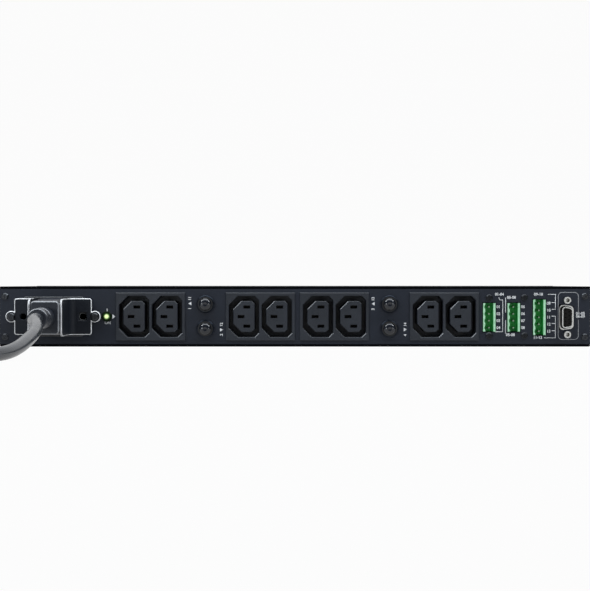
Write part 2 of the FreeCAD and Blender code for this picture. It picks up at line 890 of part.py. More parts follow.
def make_outlet_contacts():
    """Folds the forked contacts that sit in the outlets' slots, and their rear tails."""
    body = new_body("outlet_contact")
    width = s.slot_width - 2 * s.contact_clearance
    height = s.slot_height - 2 * s.contact_clearance
    fork_end = s.contact_setback - s.bezel_proud
    fork = Profile(body, "XZ_Plane", -fork_end)
    fork.rectangle(0, 0, width, height)
    pad(body, fork, s.housing_depth - fork_end, reverse=True)
    gap = Profile(body, "XZ_Plane", -fork_end)
    gap.rectangle(0, 0, width, height - 2 * s.contact_leaf)
    pocket(body, gap, s.socket_depth - s.contact_setback)
    tail = Profile(body, "XZ_Plane", -s.housing_depth)
    tail.rectangle(0, 0, width, s.contact_leaf * 2)
    pad(body, tail, s.contact_tail, reverse=True)
    places = []
    for x in pair_middles:
        for side in (-1, 1):
            for slot_x, slot_z in slot_spots(x + side * s.outlet_pitch / 2):
                places.append((slot_x, rear_y, slot_z + mid_z))
    group("outlet_contacts", body, places)


def make_breaker(number, x, z):
    """Makes a breaker's housing and bushing, and the reset button that slides in it."""
    body = new_body(f"breaker_{number}")
    case = Profile(body, "XZ_Plane", -s.rear_panel_thickness)
    case.rectangle(0, 0, s.breaker_width, s.breaker_height)
    pad(body, case, s.breaker_depth, reverse=True)
    bushing = Profile(body, "XZ_Plane", -s.rear_panel_thickness)
    bushing.circle(0, 0, s.bushing_diameter / 2)
    pad(body, bushing, s.rear_panel_thickness + s.bushing_proud)
    bore = Profile(body, "XZ_Plane", s.bushing_proud)
    bore.circle(0, 0, s.button_diameter / 2 + s.button_clearance)
    pocket(body, bore, s.bushing_proud + s.button_stem + s.button_clearance)
    place(body, x, rear_y, z + mid_z)
    node(body)

    button = new_body(f"reset_button_{number}")
    profile = Profile(button, "XY_Plane")
    face = -s.bushing_proud - s.button_proud
    profile.polygon([
        (0, face),
        (s.button_diameter / 2 - s.button_edge, face),
        (s.button_diameter / 2, face + s.button_edge),
        (s.button_diameter / 2, s.button_stem),
        (0, s.button_stem),
    ])
    revolve(button, profile)
    place(button, x, rear_y, z + mid_z)
    node(button)


def make_breaker_nuts():
    """Turns the round nuts that clamp the breakers to the panel."""
    body = new_body("breaker_nut")
    bore = s.bushing_diameter / 2 + s.nut_clearance
    profile = Profile(body, "XY_Plane")
    profile.polygon([
        (bore, 0),
        (s.nut_diameter / 2, 0),
        (s.nut_diameter / 2, s.nut_edge - s.nut_thickness),
        (s.nut_diameter / 2 - s.nut_edge, -s.nut_thickness),
        (bore, -s.nut_thickness),
    ])
    revolve(body, profile)
    group("breaker_nuts", body, [(x, rear_y, z + mid_z) for x, z in breaker_spots])


def make_lamp():
    """Turns the indicator lamp's holder and its domed lens."""
    holder = new_body("lamp_holder")
    bore = s.lamp_diameter / 2 + s.lamp_clearance
    profile = Profile(holder, "XY_Plane")
    profile.polygon([
        (bore, -s.lamp_holder_proud),
        (s.lamp_holder_diameter / 2 - s.lamp_holder_proud / 2, -s.lamp_holder_proud),
        (s.lamp_holder_diameter / 2, -s.lamp_holder_proud / 2),
        (s.lamp_holder_diameter / 2, 0),
        (s.lamp_holder_neck / 2, 0),
        (s.lamp_holder_neck / 2, s.lamp_holder_depth),
        (bore, s.lamp_holder_depth),
    ])
    revolve(holder, profile)
    place(holder, s.lamp_x, rear_y, mid_z)
    node(holder)

    lens = new_body("lamp_lens")
    face = -s.lamp_holder_proud - s.lamp_proud
    profile = Profile(lens, "XY_Plane")
    profile.polygon([
        (0, face),
        (s.lamp_diameter * 0.22, face + s.lamp_proud * 0.2),
        (s.lamp_diameter * 0.4, face + s.lamp_proud * 0.7),
        (s.lamp_diameter / 2, face + s.lamp_proud * 1.6),
        (s.lamp_diameter / 2, face + s.lamp_length),
        (0, face + s.lamp_length),
    ])
    revolve(lens, profile)
    place(lens, s.lamp_x, rear_y, mid_z)
    node(lens)


def make_inlet():
    """Moulds the AC inlet, open to the rear, and its three pins."""
    body = new_body("inlet_body")
    flange = Profile(body, "XZ_Plane")
    flange.polygon(cut_corners(
        length(0), s.inlet_flange_width, s.inlet_flange_height, s.inlet_flange_corner, s.inlet_flange_corner,
    ))
    pad(body, flange, s.inlet_flange_thickness)
    box = Profile(body, "XZ_Plane")
    box.rectangle(0, 0, s.inlet_body_width, s.inlet_body_height)
    pad(body, box, s.inlet_body_depth, reverse=True)
    cavity = Profile(body, "XZ_Plane", s.inlet_flange_thickness)
    grow = 2 * s.inlet_cavity_clearance
    cavity.polygon(cut_corners(
        length(0), s.core_width + grow, s.core_height + grow, s.core_earth_corner, s.core_live_corner,
    ))
    pocket(body, cavity, s.inlet_cavity_depth)
    pin_holes = Profile(body, "XZ_Plane", s.inlet_flange_thickness)
    for x, z in slot_spots(length(0)):
        pin_holes.rectangle(x, z, s.inlet_pin_width, s.inlet_pin_thickness)
    pocket(body, pin_holes, s.inlet_flange_thickness + s.inlet_body_depth)
    screw_holes = Profile(body, "XZ_Plane", s.inlet_flange_thickness)
    for x, z in inlet_screw_spots:
        screw_holes.circle(x, z, s.inlet_screw_hole / 2)
    pocket(body, screw_holes, s.inlet_flange_thickness)
    place(body, s.inlet_x, rear_y, mid_z)
    node(body)

    pin = new_body("inlet_pin")
    blade = Profile(pin, "XZ_Plane", s.inlet_flange_thickness - s.inlet_pin_setback)
    blade.rectangle(0, 0, s.inlet_pin_width, s.inlet_pin_thickness)
    reach = s.inlet_flange_thickness - s.inlet_pin_setback + s.inlet_body_depth + s.inlet_tail
    pad(pin, blade, reach, reverse=True)
    group("inlet_pins", pin, [(x, rear_y, z + mid_z) for x, z in slot_spots(s.inlet_x)])


def make_bracket(name, side, square_hole):
    """Folds one retention bracket: a foot on the inlet's flange, an ear and an arm beside the connector."""
    body = new_body(name)
    foot_back = -s.inlet_flange_thickness
    foot_front = foot_back - s.bracket_sheet
    inner = side * s.bracket_gap / 2
    outer = side * (s.bracket_gap / 2 + s.bracket_sheet)
    tip = -s.bracket_reach
    section = Profile(body, "XY_Plane", -s.bracket_width / 2)
    section.polygon([
        (inner, tip),
        (inner, foot_back),
        (side * s.bracket_half_length, foot_back),
        (side * s.bracket_half_length, foot_front),
        (outer, foot_front),
        (outer, tip),
    ])
    pad(body, section, s.bracket_width)
    round_edges(body, s.bracket_bend, lambda edge: (
        runs_along(edge, "Z") and flat_at(edge, "X", outer) and flat_at(edge, "Y", foot_front)
    ))
    round_edges(body, s.bracket_bend + s.bracket_sheet, lambda edge: (
        runs_along(edge, "Z") and flat_at(edge, "X", inner) and flat_at(edge, "Y", foot_back)
    ))
    round_edges(body, s.bracket_arm_corner, lambda edge: runs_along(edge, "X") and flat_at(edge, "Y", tip))
    round_edges(body, s.bracket_corner, lambda edge: (
        runs_along(edge, "Y") and flat_at(edge, "X", side * s.bracket_half_length)
    ))
    ear = Profile(body, "XZ_Plane", -foot_back)
    ear.circle(side * s.ear_x, 0, s.ear_radius)
    pad(body, ear, s.bracket_sheet)
    holes = Profile(body, "XZ_Plane", -foot_front)
    holes.circle(side * s.ear_x, 0, screw_hole)
    if square_hole:
        holes.rectangle(side * s.bracket_hole_x, 0, s.bracket_square_hole, s.bracket_square_hole)
    else:
        holes.circle(side * s.bracket_hole_x, 0, s.bracket_round_hole / 2)
    pocket(body, holes, s.bracket_sheet)
    place(body, s.inlet_x, rear_y, mid_z)
    return node(body)


def make_bracket_spacers():
    """Turns the washers that carry the ears clear of the panel, beside the inlet's flange."""
    body = new_body("bracket_spacer")
    profile = Profile(body, "XY_Plane")
    bore = screw_hole
    profile.polygon([
        (bore, -s.inlet_flange_thickness),
        (s.ear_radius, -s.inlet_flange_thickness),
        (s.ear_radius, 0),
        (bore, 0),
    ])
    revolve(body, profile)
    group("bracket_spacers", body, [(x, rear_y, z + mid_z) for x, z in ear_spots])


def make_cord_connector():
    """Moulds the cord's connector, with its nose in the inlet, and its grooved strain relief."""
    body = new_body("cord_connector")
    seat = s.inlet_flange_thickness + s.connector_seat
    front = Profile(body, "XZ_Plane", seat)
    front.rectangle(0, 0, s.connector_width, s.connector_height)
    rear = Profile(body, "XZ_Plane", s.connector_reach)
    rear.rectangle(0, 0, s.connector_rear_width, s.connector_rear_height)
    loft = body.newObject("PartDesign::AdditiveLoft", "connector_loft")
    loft.Profile = front.sketch
    loft.Sections = [rear.sketch]
    loft.Ruled = True
    DOC.recompute()
    round_edges(body, s.connector_corner, lambda edge: edge.BoundBox.YLength > s.connector_corner.value)
    round_edges(body, s.connector_corner / 2, lambda edge: flat_at(edge, "Y", -s.connector_reach))
    nose = Profile(body, "XZ_Plane", seat)
    nose.polygon(cut_corners(
        length(0), s.core_width, s.core_height, s.core_earth_corner, s.core_live_corner,
    ))
    pad(body, nose, s.connector_nose, reverse=True)
    slots = Profile(body, "XZ_Plane", seat - s.connector_nose)
    for x, z in slot_spots(length(0)):
        slots.rectangle(x, z, s.slot_width, s.slot_height)
    pocket(body, slots, s.connector_nose, reverse=True)
    place(body, s.inlet_x, rear_y, mid_z)
    node(body)

    relief = new_body("cord_strain_relief")
    base = -s.connector_reach
    groove = base - s.relief_base_length
    collar = groove - s.relief_groove_width
    tip = base - s.relief_length
    groove_radius = s.relief_collar / 2 - s.relief_groove_depth
    profile = Profile(relief, "XY_Plane")
    profile.polygon([
        (0, base),
        (s.relief_base / 2, base),
        (s.relief_base / 2, groove + s.relief_edge),
        (s.relief_base / 2 - s.relief_edge, groove),
        (groove_radius, groove),
        (groove_radius, collar),
        (s.relief_collar / 2, collar),
        (s.relief_collar / 2, tip + s.relief_edge),
        (s.relief_collar / 2 - s.relief_edge, tip),
        (0, tip),
    ])
    revolve(relief, profile)
    place(relief, s.inlet_x, rear_y, mid_z)
    node(relief)


def tube_path(points):
    """Joins straight runs by tangent arcs, each as large as its two runs allow, and prints the radii."""
    edges = []
    radii = []
    start = points[0]
    for before, corner, after in zip(points, points[1:], points[2:]):
        back = (before - corner).normalize()
        ahead = (after - corner).normalize()
        turn = math.pi - back.getAngle(ahead)
        trim = ARC_SHARE * min(before.distanceToPoint(corner), after.distanceToPoint(corner))
        radius = trim / math.tan(turn / 2)
        arc_start = corner + back * trim
        arc_end = corner + ahead * trim
        middle = corner + (back + ahead).normalize() * (math.hypot(radius, trim) - radius)
        edges.append(Part.LineSegment(start, arc_start).toShape())
        edges.append(Part.Arc(arc_start, middle, arc_end).toShape())
        radii.append(round(radius, 1))
        start = arc_end
    edges.append(Part.LineSegment(start, points[-1]).toShape())
    print("bend radii", radii)
    return Part.Wire(edges)


def tube_solid(points, diameter):
    """Sweeps a round section along a route and compares its volume with its section times its length."""
    path = tube_path(points)
    direction = points[1] - points[0]
    ring = Part.Wire(Part.makeCircle(diameter / 2, points[0], direction))
    solid = path.makePipeShell([ring], True, False)
    expected = math.pi * diameter ** 2 / 4 * path.Length
    if abs(solid.Volume / expected - 1) > 0.01:
        raise RuntimeError("the swept tube has the wrong volume")
    print("tube length", round(path.Length, 1))
    return solid


def make_tubes(name, routes, diameter):
    """Makes one piece of swept tubes."""
    item = DOC.addObject("Part::Feature", name)
    item.Label = name
    solids = [tube_solid(points, diameter) for points in routes]
    item.Shape = solids[0] if len(solids) == 1 else Part.makeCompound(solids)
    return node(item)


def make_cord():
    """Lays the mains cord: out of its strain relief, down to the floor, into a tied coil and to its plug."""
    out = rear_y - s.connector_reach - s.relief_length
    floor_z = s.cord_diameter.value / 2
    drop = mid_z.value - floor_z
    route = [
        FreeCAD.Vector(s.inlet_x.value + right, out.value - away, floor_z + share * drop)
        for right, away, share in CORD_ROUTE
    ]
    make_tubes("power_cord", [route], s.cord_diameter.value)

    entry_right, entry_away, _ = CORD_ROUTE[-1]
    coil_width = s.cord_diameter * (COIL_LAYER_TURNS + 1)
    coil_height = s.cord_diameter * COIL_LAYERS
    outer_turn = s.coil_radius + coil_width / 2 - s.cord_diameter / 2
    coil_x = s.inlet_x + entry_right
    coil_y = out - entry_away + outer_turn
    ring = new_body("cord_coil")
    profile = Profile(ring, "XZ_Plane")
    profile.rectangle(s.coil_radius, coil_height / 2, coil_width, coil_height)
    revolve(ring, profile)
    round_edges(ring, s.coil_edge, lambda edge: True)
    place(ring, coil_x, coil_y, s.tie_thickness)
    node(ring)

    tie = new_body("coil_tie")
    inside_width = coil_width + 2 * s.tie_clearance
    band = Profile(tie, "XZ_Plane", -s.tie_width / 2)
    middle = coil_height / 2 + s.tie_clearance / 2
    inside_height = coil_height + s.tie_clearance
    band.rectangle(-s.coil_radius, middle, inside_width + 2 * s.tie_thickness, inside_height + 2 * s.tie_thickness)
    band.rectangle(-s.coil_radius, middle, inside_width, inside_height)
    pad(tie, band, s.tie_width)
    place(tie, coil_x, coil_y, s.tie_thickness)
    node(tie)

    top_layer = s.tie_thickness + coil_height - s.cord_diameter / 2
    plug_x = coil_x - outer_turn
    rise = s.plug_diameter.value / 2 - top_layer.value
    tail = [
        FreeCAD.Vector(plug_x.value + right, coil_y.value + away, top_layer.value + share * rise)
        for right, away, share in TAIL_ROUTE
    ]
    make_tubes("cord_tail", [tail], s.cord_diameter.value)
    return plug_x, coil_y + TAIL_ROUTE[-1][1]


def make_mains_plug(x, y):
    """Moulds the round mains plug, lying on its side with its pins away from the viewer, and its two pins."""
    body = new_body("mains_plug")
    relief_end = s.plug_relief
    face = s.plug_relief + s.plug_length
    profile = Profile(body, "XY_Plane")
    profile.polygon([
        (0, 0),
        (s.plug_relief_tip / 2, 0),
        (s.plug_neck / 2, relief_end),
        (s.plug_diameter / 2, face - s.plug_front),
        (s.plug_diameter / 2, face - s.plug_edge),
        (s.plug_diameter / 2 - s.plug_edge, face),
        (0, face),
    ])
    revolve(body, profile)
    place(body, x, y, s.plug_diameter / 2)
    node(body)
    pin = new_body("plug_pin")
    round_pin = Profile(pin, "XZ_Plane")
    round_pin.circle(0, 0, s.plug_pin_diameter / 2)
    pad(pin, round_pin, s.plug_pin_length, reverse=True)
    bevel_edges(pin, s.plug_pin_edge, lambda edge: flat_at(edge, "Y", s.plug_pin_length))
    spots = [(x + side * s.plug_pin_spacing / 2, y + face, s.plug_diameter / 2) for side in (-1, 1)]
    group("mains_plug_pins", pin, spots)


def make_header(number, x, ways):
    """Moulds a terminal header: an open channel with a scalloped left wall, on the control board."""
    body = new_body(f"terminal_header_{number}")
    size = header_length(ways)
    block = Profile(body, "XZ_Plane", s.header_proud)
    block.rectangle(0, -s.header_drop, s.header_width, size)
    pad(body, block, s.header_depth, reverse=True)
    channel = Profile(body, "XZ_Plane", s.header_proud)
    channel.rectangle(0, -s.header_drop, s.header_width - 2 * s.header_wall, size)
    pocket(body, channel, s.header_depth - s.header_floor)
    scallops = Profile(body, "XZ_Plane", s.header_proud)
    holes = Profile(body, "XZ_Plane", s.header_proud)
    hole = s.header_pin + 2 * s.header_pin_clearance
    scallop_x = s.header_wall - s.header_width / 2 - s.scallop_depth + s.header_scallop
    for z in header_rows(ways):
        scallops.circle(scallop_x, z, s.header_scallop)
        holes.rectangle(0, z, hole, hole)
    pocket(body, scallops, s.header_depth - s.header_floor)
    pocket(body, holes, s.header_depth)
    place(body, x, rear_y, mid_z)
    return node(body)


def make_control_board():
    """Makes the control board that carries the headers, its spacers and the header pins."""
    body = new_body("control_board")
    face = s.header_depth - s.header_proud
    left = s.pair_four_x + s.housing_width / 2 + s.control_board_gap
    width = s.data_x + s.control_board_margin - left
    plate = Profile(body, "XZ_Plane", -face)
    plate.rectangle(left + width / 2, 0, width, s.control_board_height)
    pad(body, plate, s.board_thickness, reverse=True)
    holes = Profile(body, "XZ_Plane", -face)
    hole = s.header_pin + 2 * s.header_pin_clearance
    pin_spots = [(x, z) for x, ways in header_ways for z in header_rows(ways)]
    for x, z in pin_spots:
        holes.rectangle(x, z, hole, hole)
    pocket(body, holes, s.board_thickness)
    place(body, 0, rear_y, mid_z)
    node(body)

    pin = new_body("header_pin_blade")
    blade = Profile(pin, "XZ_Plane", s.header_proud - s.header_pin_setback)
    blade.rectangle(0, 0, s.header_pin, s.header_pin)
    pad(pin, blade, s.header_depth - s.header_pin_setback + s.board_thickness + s.header_pin_tail, reverse=True)
    group("header_pins", pin, [(x, rear_y, z + mid_z) for x, z in pin_spots])

    spacer = new_body("control_board_spacer")
    ring = Profile(spacer, "XZ_Plane", -s.rear_panel_thickness)
    ring.circle(0, 0, s.spacer_diameter / 2)
    ring.circle(0, 0, screw_hole)
    pad(spacer, ring, face - s.rear_panel_thickness, reverse=True)
    group("control_board_spacers", spacer, [(x, rear_y, z + mid_z) for x, z in control_screw_spots])


def make_data_socket():
    """Makes the nine-way data socket: plated shell, insert, contacts and two jackscrews."""
    shell = new_body("data_socket_shell")
    flange_back = s.rear_panel_thickness + s.data_flange_thickness
    flange = Profile(shell, "XZ_Plane", -s.rear_panel_thickness)
    flange.rectangle(s.data_x, -s.header_drop, s.data_flange_width, s.data_flange_height)
    pad(shell, flange, s.data_flange_thickness, reverse=True)
    collar = Profile(shell, "XZ_Plane", -s.rear_panel_thickness)
    collar.polygon(data_outline(length(0)))
    collar_height = s.data_shell_proud + s.rear_panel_thickness
    pad(shell, collar, collar_height)
    inside = Profile(shell, "XZ_Plane", s.data_shell_proud)
    inside.polygon(data_outline(-s.data_shell_wall))
    shell_depth = s.data_shell_proud + flange_back
    pocket(shell, inside, shell_depth)
    inside_corner = s.data_shell_corner - s.data_shell_wall
    round_edges(shell, inside_corner, lambda edge: (
        runs_along(edge, "Y") and near(edge.BoundBox.YLength, shell_depth)
    ))
    round_edges(shell, s.data_shell_corner, lambda edge: (
        runs_along(edge, "Y") and near(edge.BoundBox.YLength, collar_height)
    ))
    skirt = Profile(shell, "XZ_Plane", -s.rear_panel_thickness)
    skirt.polygon(data_outline(s.data_skirt))
    skirt.polygon(data_outline(s.data_moat))
    skirt_height = s.rear_panel_thickness + s.data_skirt_proud
    pad(shell, skirt, skirt_height)
    round_edges(shell, s.data_skirt_corner, lambda edge: (
        runs_along(edge, "Y") and near(edge.BoundBox.YLength, skirt_height)
    ))
    holes = Profile(shell, "XZ_Plane", -s.rear_panel_thickness)
    for x, z in jackscrew_spots:
        holes.circle(x, z, screw_hole)
    pocket(shell, holes, s.data_flange_thickness)
    place(shell, 0, rear_y, mid_z)
    node(shell)

    insert = new_body("data_socket_insert")
    board_face = s.header_depth - s.header_proud
    setback = s.data_shell_proud - s.data_insert_setback
    block = Profile(insert, "XZ_Plane", setback)
    block.polygon(data_outline(-s.data_shell_wall))
    pad(insert, block, setback + board_face, reverse=True)
    round_edges(insert, inside_corner, lambda edge: runs_along(edge, "Y"))
    sockets = Profile(insert, "XZ_Plane", setback)
    for x, z in data_holes():
        sockets.circle(x, z, s.data_hole_diameter / 2)
    pocket(insert, sockets, s.data_hole_depth)
    place(insert, 0, rear_y, mid_z)
    node(insert)

    contact = new_body("data_contact")
    wire = Profile(contact, "XZ_Plane", setback - s.data_contact_setback)
    wire.circle(0, 0, s.data_contact_diameter / 2)
    pad(contact, wire, s.data_hole_depth - s.data_contact_setback, reverse=True)
    group("data_socket_contacts", contact, [(x, rear_y, z + mid_z) for x, z in data_holes()])

    jackscrew = new_body("data_jackscrew")
    corner = s.jackscrew_flats / math.sqrt(3)
    hexagon = Profile(jackscrew, "XZ_Plane")
    turns = [math.radians(60 * step) for step in range(6)]
    hexagon.polygon([(corner * math.cos(turn), corner * math.sin(turn)) for turn in turns])
    pad(jackscrew, hexagon, s.jackscrew_length - s.jackscrew_face)
    face = Profile(jackscrew, "XZ_Plane", s.jackscrew_length - s.jackscrew_face)
    face.circle(0, 0, corner)
    pad(jackscrew, face, s.jackscrew_face)
    bore = Profile(jackscrew, "XZ_Plane", s.jackscrew_length)
    bore.circle(0, 0, s.jackscrew_bore / 2)
    pocket(jackscrew, bore, s.jackscrew_bore_depth)
    shank = Profile(jackscrew, "XZ_Plane")
    shank.circle(0, 0, s.screw_diameter / 2)
    pad(jackscrew, shank, s.jackscrew_shank, reverse=True)
    group("data_jackscrews", jackscrew, [(x, rear_y, z + mid_z) for x, z in jackscrew_spots])


board_rear = rear_y + s.power_board_setback
board_low = s.sheet + s.standoff_height
board_top = board_low + s.board_thickness
board_left = s.power_board_x - s.power_board_width / 2
board_right = s.power_board_x + s.power_board_width / 2


def standoff_spots():
    """Gives the six places where the power board is held up."""
    rows = [board_rear + s.power_board_inset, board_rear + s.power_board_depth - s.power_board_inset]
    columns = [board_left + s.power_board_inset, s.power_board_x, board_right - s.power_board_inset]
    return [(x, y) for x in columns for y in rows]


def make_power_board():
    """Makes the power board with its holes, its standoffs and its screws."""
    body = new_body("power_board")
    plate = Profile(body, "XY_Plane", board_low)
    middle_y = board_rear + s.power_board_depth / 2
    plate.rectangle(s.power_board_x, middle_y, s.power_board_width, s.power_board_depth)
    for x, y in standoff_spots():
        plate.circle(x, y, screw_hole)
    pad(body, plate, s.board_thickness)
    node(body)

    post = new_body("board_standoff")
    section = Profile(post, "XY_Plane")
    section.circle(0, 0, s.standoff_diameter / 2)
    section.circle(0, 0, screw_hole)
    pad(post, section, s.standoff_height)
    group("board_standoffs", post, [(x, y, s.sheet) for x, y in standoff_spots()])

    screw = new_body("board_screw")
    profile = Profile(screw, "XZ_Plane")
    profile.polygon([
        (0, s.screw_head_height),
        (s.screw_head / 2 * HEAD_FLAT, s.screw_head_height),
        (s.screw_head / 2, s.screw_head_height / 2),
        (s.screw_head / 2, 0),
        (s.screw_diameter / 2, 0),
        (s.screw_diameter / 2, -s.screw_length),
        (0, -s.screw_length),
    ])
    revolve(screw, profile)
    group("board_screws", screw, [(x, y, board_top) for x, y in standoff_spots()])


def rounded_block(name, width, depth, height, edge):
    """Makes a moulded block that stands at Z 0, with rounded upright and top edges."""
    body = new_body(name)
    outline = Profile(body, "XY_Plane")
    outline.rectangle(0, 0, width, depth)
    pad(body, outline, height)
    round_edges(body, edge, lambda item: not flat_at(item, "Z", 0))
    return body


def make_board_parts():
    """Makes what stands on the power board."""
    relay = rounded_block("relay", s.relay_width, s.relay_depth, s.relay_height, s.relay_edge)
    relay_x = [s.power_board_x + (step - 1.5) * s.relay_pitch for step in range(4)]
    group("relays", relay, [(x, board_rear + s.relay_row, board_top) for x in relay_x])

    row_y = board_rear + s.component_row
    choke = new_body("filter_choke")
    ring = Profile(choke, "XZ_Plane")
    wall = (s.choke_diameter - s.choke_bore) / 2
    ring.rectangle(s.choke_bore / 2 + wall / 2, s.choke_height / 2, wall, s.choke_height)
    revolve(choke, ring)
    round_edges(choke, s.choke_edge, lambda edge: flat_at(edge, "Z", s.choke_height))
    place(choke, board_left + s.choke_inset, row_y, board_top)
    node(choke)

    capacitor = rounded_block(
        "capacitor", s.capacitor_length, s.capacitor_width, s.capacitor_height, s.relay_edge,
    )
    group("filter_capacitors", capacitor, [
        (s.capacitor_x, row_y + side * s.capacitor_pitch / 2, board_top) for side in (-1, 1)
    ])

    disc = rod("varistor_disc", s.varistor_diameter / 2, s.varistor_thickness)
    disc.Placement = FreeCAD.Placement(FreeCAD.Vector(), FreeCAD.Rotation(FreeCAD.Vector(0, 1, 0), 90))
    place(disc, -s.varistor_thickness / 2, 0, s.varistor_lift + s.varistor_diameter / 2)
    legs = []
    for side in (-1, 1):
        leg = rod("varistor_leg", s.varistor_leg / 2, s.varistor_lift + s.varistor_diameter / 2)
        place(leg, 0, side * s.varistor_leg_spacing / 2, 0)
        legs.append(leg)
    varistor = join("varistor", [disc] + legs)
    group("varistors", varistor, [
        (s.varistor_x + step * s.varistor_pitch, row_y, board_top) for step in range(3)
    ])

    core = cuboid("transformer_core", s.transformer_width, s.transformer_depth, s.transformer_height)
    winding = cuboid("transformer_winding", s.winding_width, s.winding_depth, s.winding_height)
    bind(winding, "Placement.Base.z", (s.transformer_height - s.winding_height) / 2)
    supply = join("supply_transformer", [core, winding])
    place(supply, s.transformer_x, row_y, board_top)
    node(supply)

    terminal = rounded_block(
        "terminal_block", s.terminal_width, s.terminal_depth, s.terminal_height, s.terminal_edge,
    )
    terminal_y = board_rear + s.power_board_inset * 2 + s.terminal_depth / 2
    group("board_terminals", terminal, [
        (x, terminal_y, board_top) for x in [s.input_terminal_x] + breaker_columns
    ])
    return terminal_y - s.terminal_depth / 2


def lead_route(start, end):
    """Gives a lead's route: straight out of each end, with a gentle slope between."""
    step = FreeCAD.Vector(0, s.lead_straight.value, 0)
    return [start, start + step, end - step, end]


def make_leads(terminal_face):
    """Lays the leads from the inlet and the breakers to the power board's terminals."""
    level = (board_top + s.terminal_height / 2).value
    tail_y = (rear_y + s.inlet_body_depth + s.inlet_tail).value
    inlet_ends = sorted(slot_spots(s.inlet_x), key=lambda spot: spot[0].value)
    routes = []
    for step, (x, z) in zip((-1, 0, 1), inlet_ends):
        start = FreeCAD.Vector(x.value, tail_y, (z + mid_z).value)
        end = FreeCAD.Vector((s.input_terminal_x + step * s.lead_pitch).value, terminal_face.value, level)
        routes.append(lead_route(start, end))
    make_tubes("inlet_leads", routes, s.lead_diameter.value)

    case_y = (rear_y + s.rear_panel_thickness + s.breaker_depth).value
    routes = []
    for (x, z), side in zip(breaker_spots, (-1, 1, -1, 1)):
        start = FreeCAD.Vector(x.value + side, case_y, (z + mid_z).value)
        end = FreeCAD.Vector((x + side * s.lead_pitch / 2).value, terminal_face.value, level)
        routes.append(lead_route(start, end))
    make_tubes("breaker_leads", routes, s.lead_diameter.value)


def make_earth_stud():
    """Makes the earth stud on the tray's floor, with its nut."""
    stud = rod("earth_stud_shank", s.earth_stud_diameter / 2, s.earth_stud_height)
    body = new_body("earth_nut")
    corner = s.earth_nut_flats / math.sqrt(3)
    hexagon = Profile(body, "XY_Plane")
    turns = [math.radians(60 * step) for step in range(6)]
    hexagon.polygon([(corner * math.cos(turn), corner * math.sin(turn)) for turn in turns])
    pad(body, hexagon, s.earth_nut_height)
    stud_with_nut = join("earth_stud", [stud, body])
    place(stud_with_nut, s.earth_stud_inset - s.chassis_width / 2, rear_y + s.earth_stud_setback, s.sheet)
    node(stud_with_nut)


def build():
    """Makes every piece in order."""
    make_chassis_tray()
    make_rear_panel()
    make_top_cover()
    make_front_panel()
    make_casing_screws()
    for number, x in enumerate(pair_middles, start=1):
        make_outlet_pair(number, x)
    make_outlet_contacts()
    for number, (x, z) in enumerate(breaker_spots, start=1):
        make_breaker(number, x, z)
    make_breaker_nuts()
    make_lamp()
    make_inlet()
    make_bracket("bracket_left", -1, square_hole=False)
    make_bracket("bracket_right", 1, square_hole=True)
    make_bracket_spacers()
    make_cord_connector()
    plug_x, plug_y = make_cord()
    make_mains_plug(plug_x, plug_y)
    for number, (x, ways) in enumerate(header_ways, start=1):
        make_header(number, x, ways)
    make_control_board()
    make_data_socket()
    make_power_board()
    terminal_face = make_board_parts()
    make_leads(terminal_face)
    make_earth_stud()
    DOC.recompute()


def check_document():
    """Stops if any object of the document failed or any piece has no valid solid."""
    for item in DOC.Objects:
        if "Invalid" in item.State or "Error" in item.State:
            raise RuntimeError(f"{item.Name} failed: {item.State}")
    for item in NODES:
        if item.Shape.isNull() or not item.Shape.isValid() or not item.Shape.Solids:
            raise RuntimeError(f"{item.Label} has no valid solid")


def export():
    """Writes one file for each piece."""
    os.makedirs("parts", exist_ok=True)
    for item in NODES:
        item.Shape.exportStep(f"parts/{item.Label}.step")
    print(len(NODES), "pieces written")


build()
check_document()
export()
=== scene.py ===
"""Looks of a one-unit rack power conditioner: finishes, printed marks, mains cord and a studio."""

import logging
import math
from abc import ABC, abstractmethod
from collections.abc import Callable
from dataclasses import dataclass
from enum import Enum

import bmesh
import bpy
from mathutils import Matrix, Vector


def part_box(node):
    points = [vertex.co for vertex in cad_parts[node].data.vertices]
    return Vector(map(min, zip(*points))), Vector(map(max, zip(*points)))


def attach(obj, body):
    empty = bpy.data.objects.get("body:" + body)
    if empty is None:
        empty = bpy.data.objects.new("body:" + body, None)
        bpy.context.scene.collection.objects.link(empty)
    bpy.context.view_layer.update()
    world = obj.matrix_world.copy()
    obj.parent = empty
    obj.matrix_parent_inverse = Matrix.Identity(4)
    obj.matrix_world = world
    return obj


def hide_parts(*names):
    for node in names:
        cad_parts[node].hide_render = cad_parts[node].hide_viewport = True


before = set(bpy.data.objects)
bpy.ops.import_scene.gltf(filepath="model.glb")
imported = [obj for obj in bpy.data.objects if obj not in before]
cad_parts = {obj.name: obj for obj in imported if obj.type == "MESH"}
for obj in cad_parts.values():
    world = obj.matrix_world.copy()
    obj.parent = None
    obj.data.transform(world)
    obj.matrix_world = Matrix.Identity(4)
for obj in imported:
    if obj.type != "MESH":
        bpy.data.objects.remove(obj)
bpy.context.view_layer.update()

LOG = logging.getLogger("rack_power_conditioner")
MM = 0.001
UNIT = "unit"
FULL_TURN = 360.0
FOUR = range(1, 5)
FACES_OUT = -0.5
LIT_SLANT = (0.3, 0.9)
MERGE_DISTANCE = 1e-6
FLAT_ANGLE = 0.5
EASED_SHARP_ANGLE = 50.0
TURNED_SHARP_ANGLE = 38.0
LATHE_STEPS = 48
CORNER_STEPS = 6
NOISE_REACH = (0.3, 0.7)
MOTTLE_START = 0.35

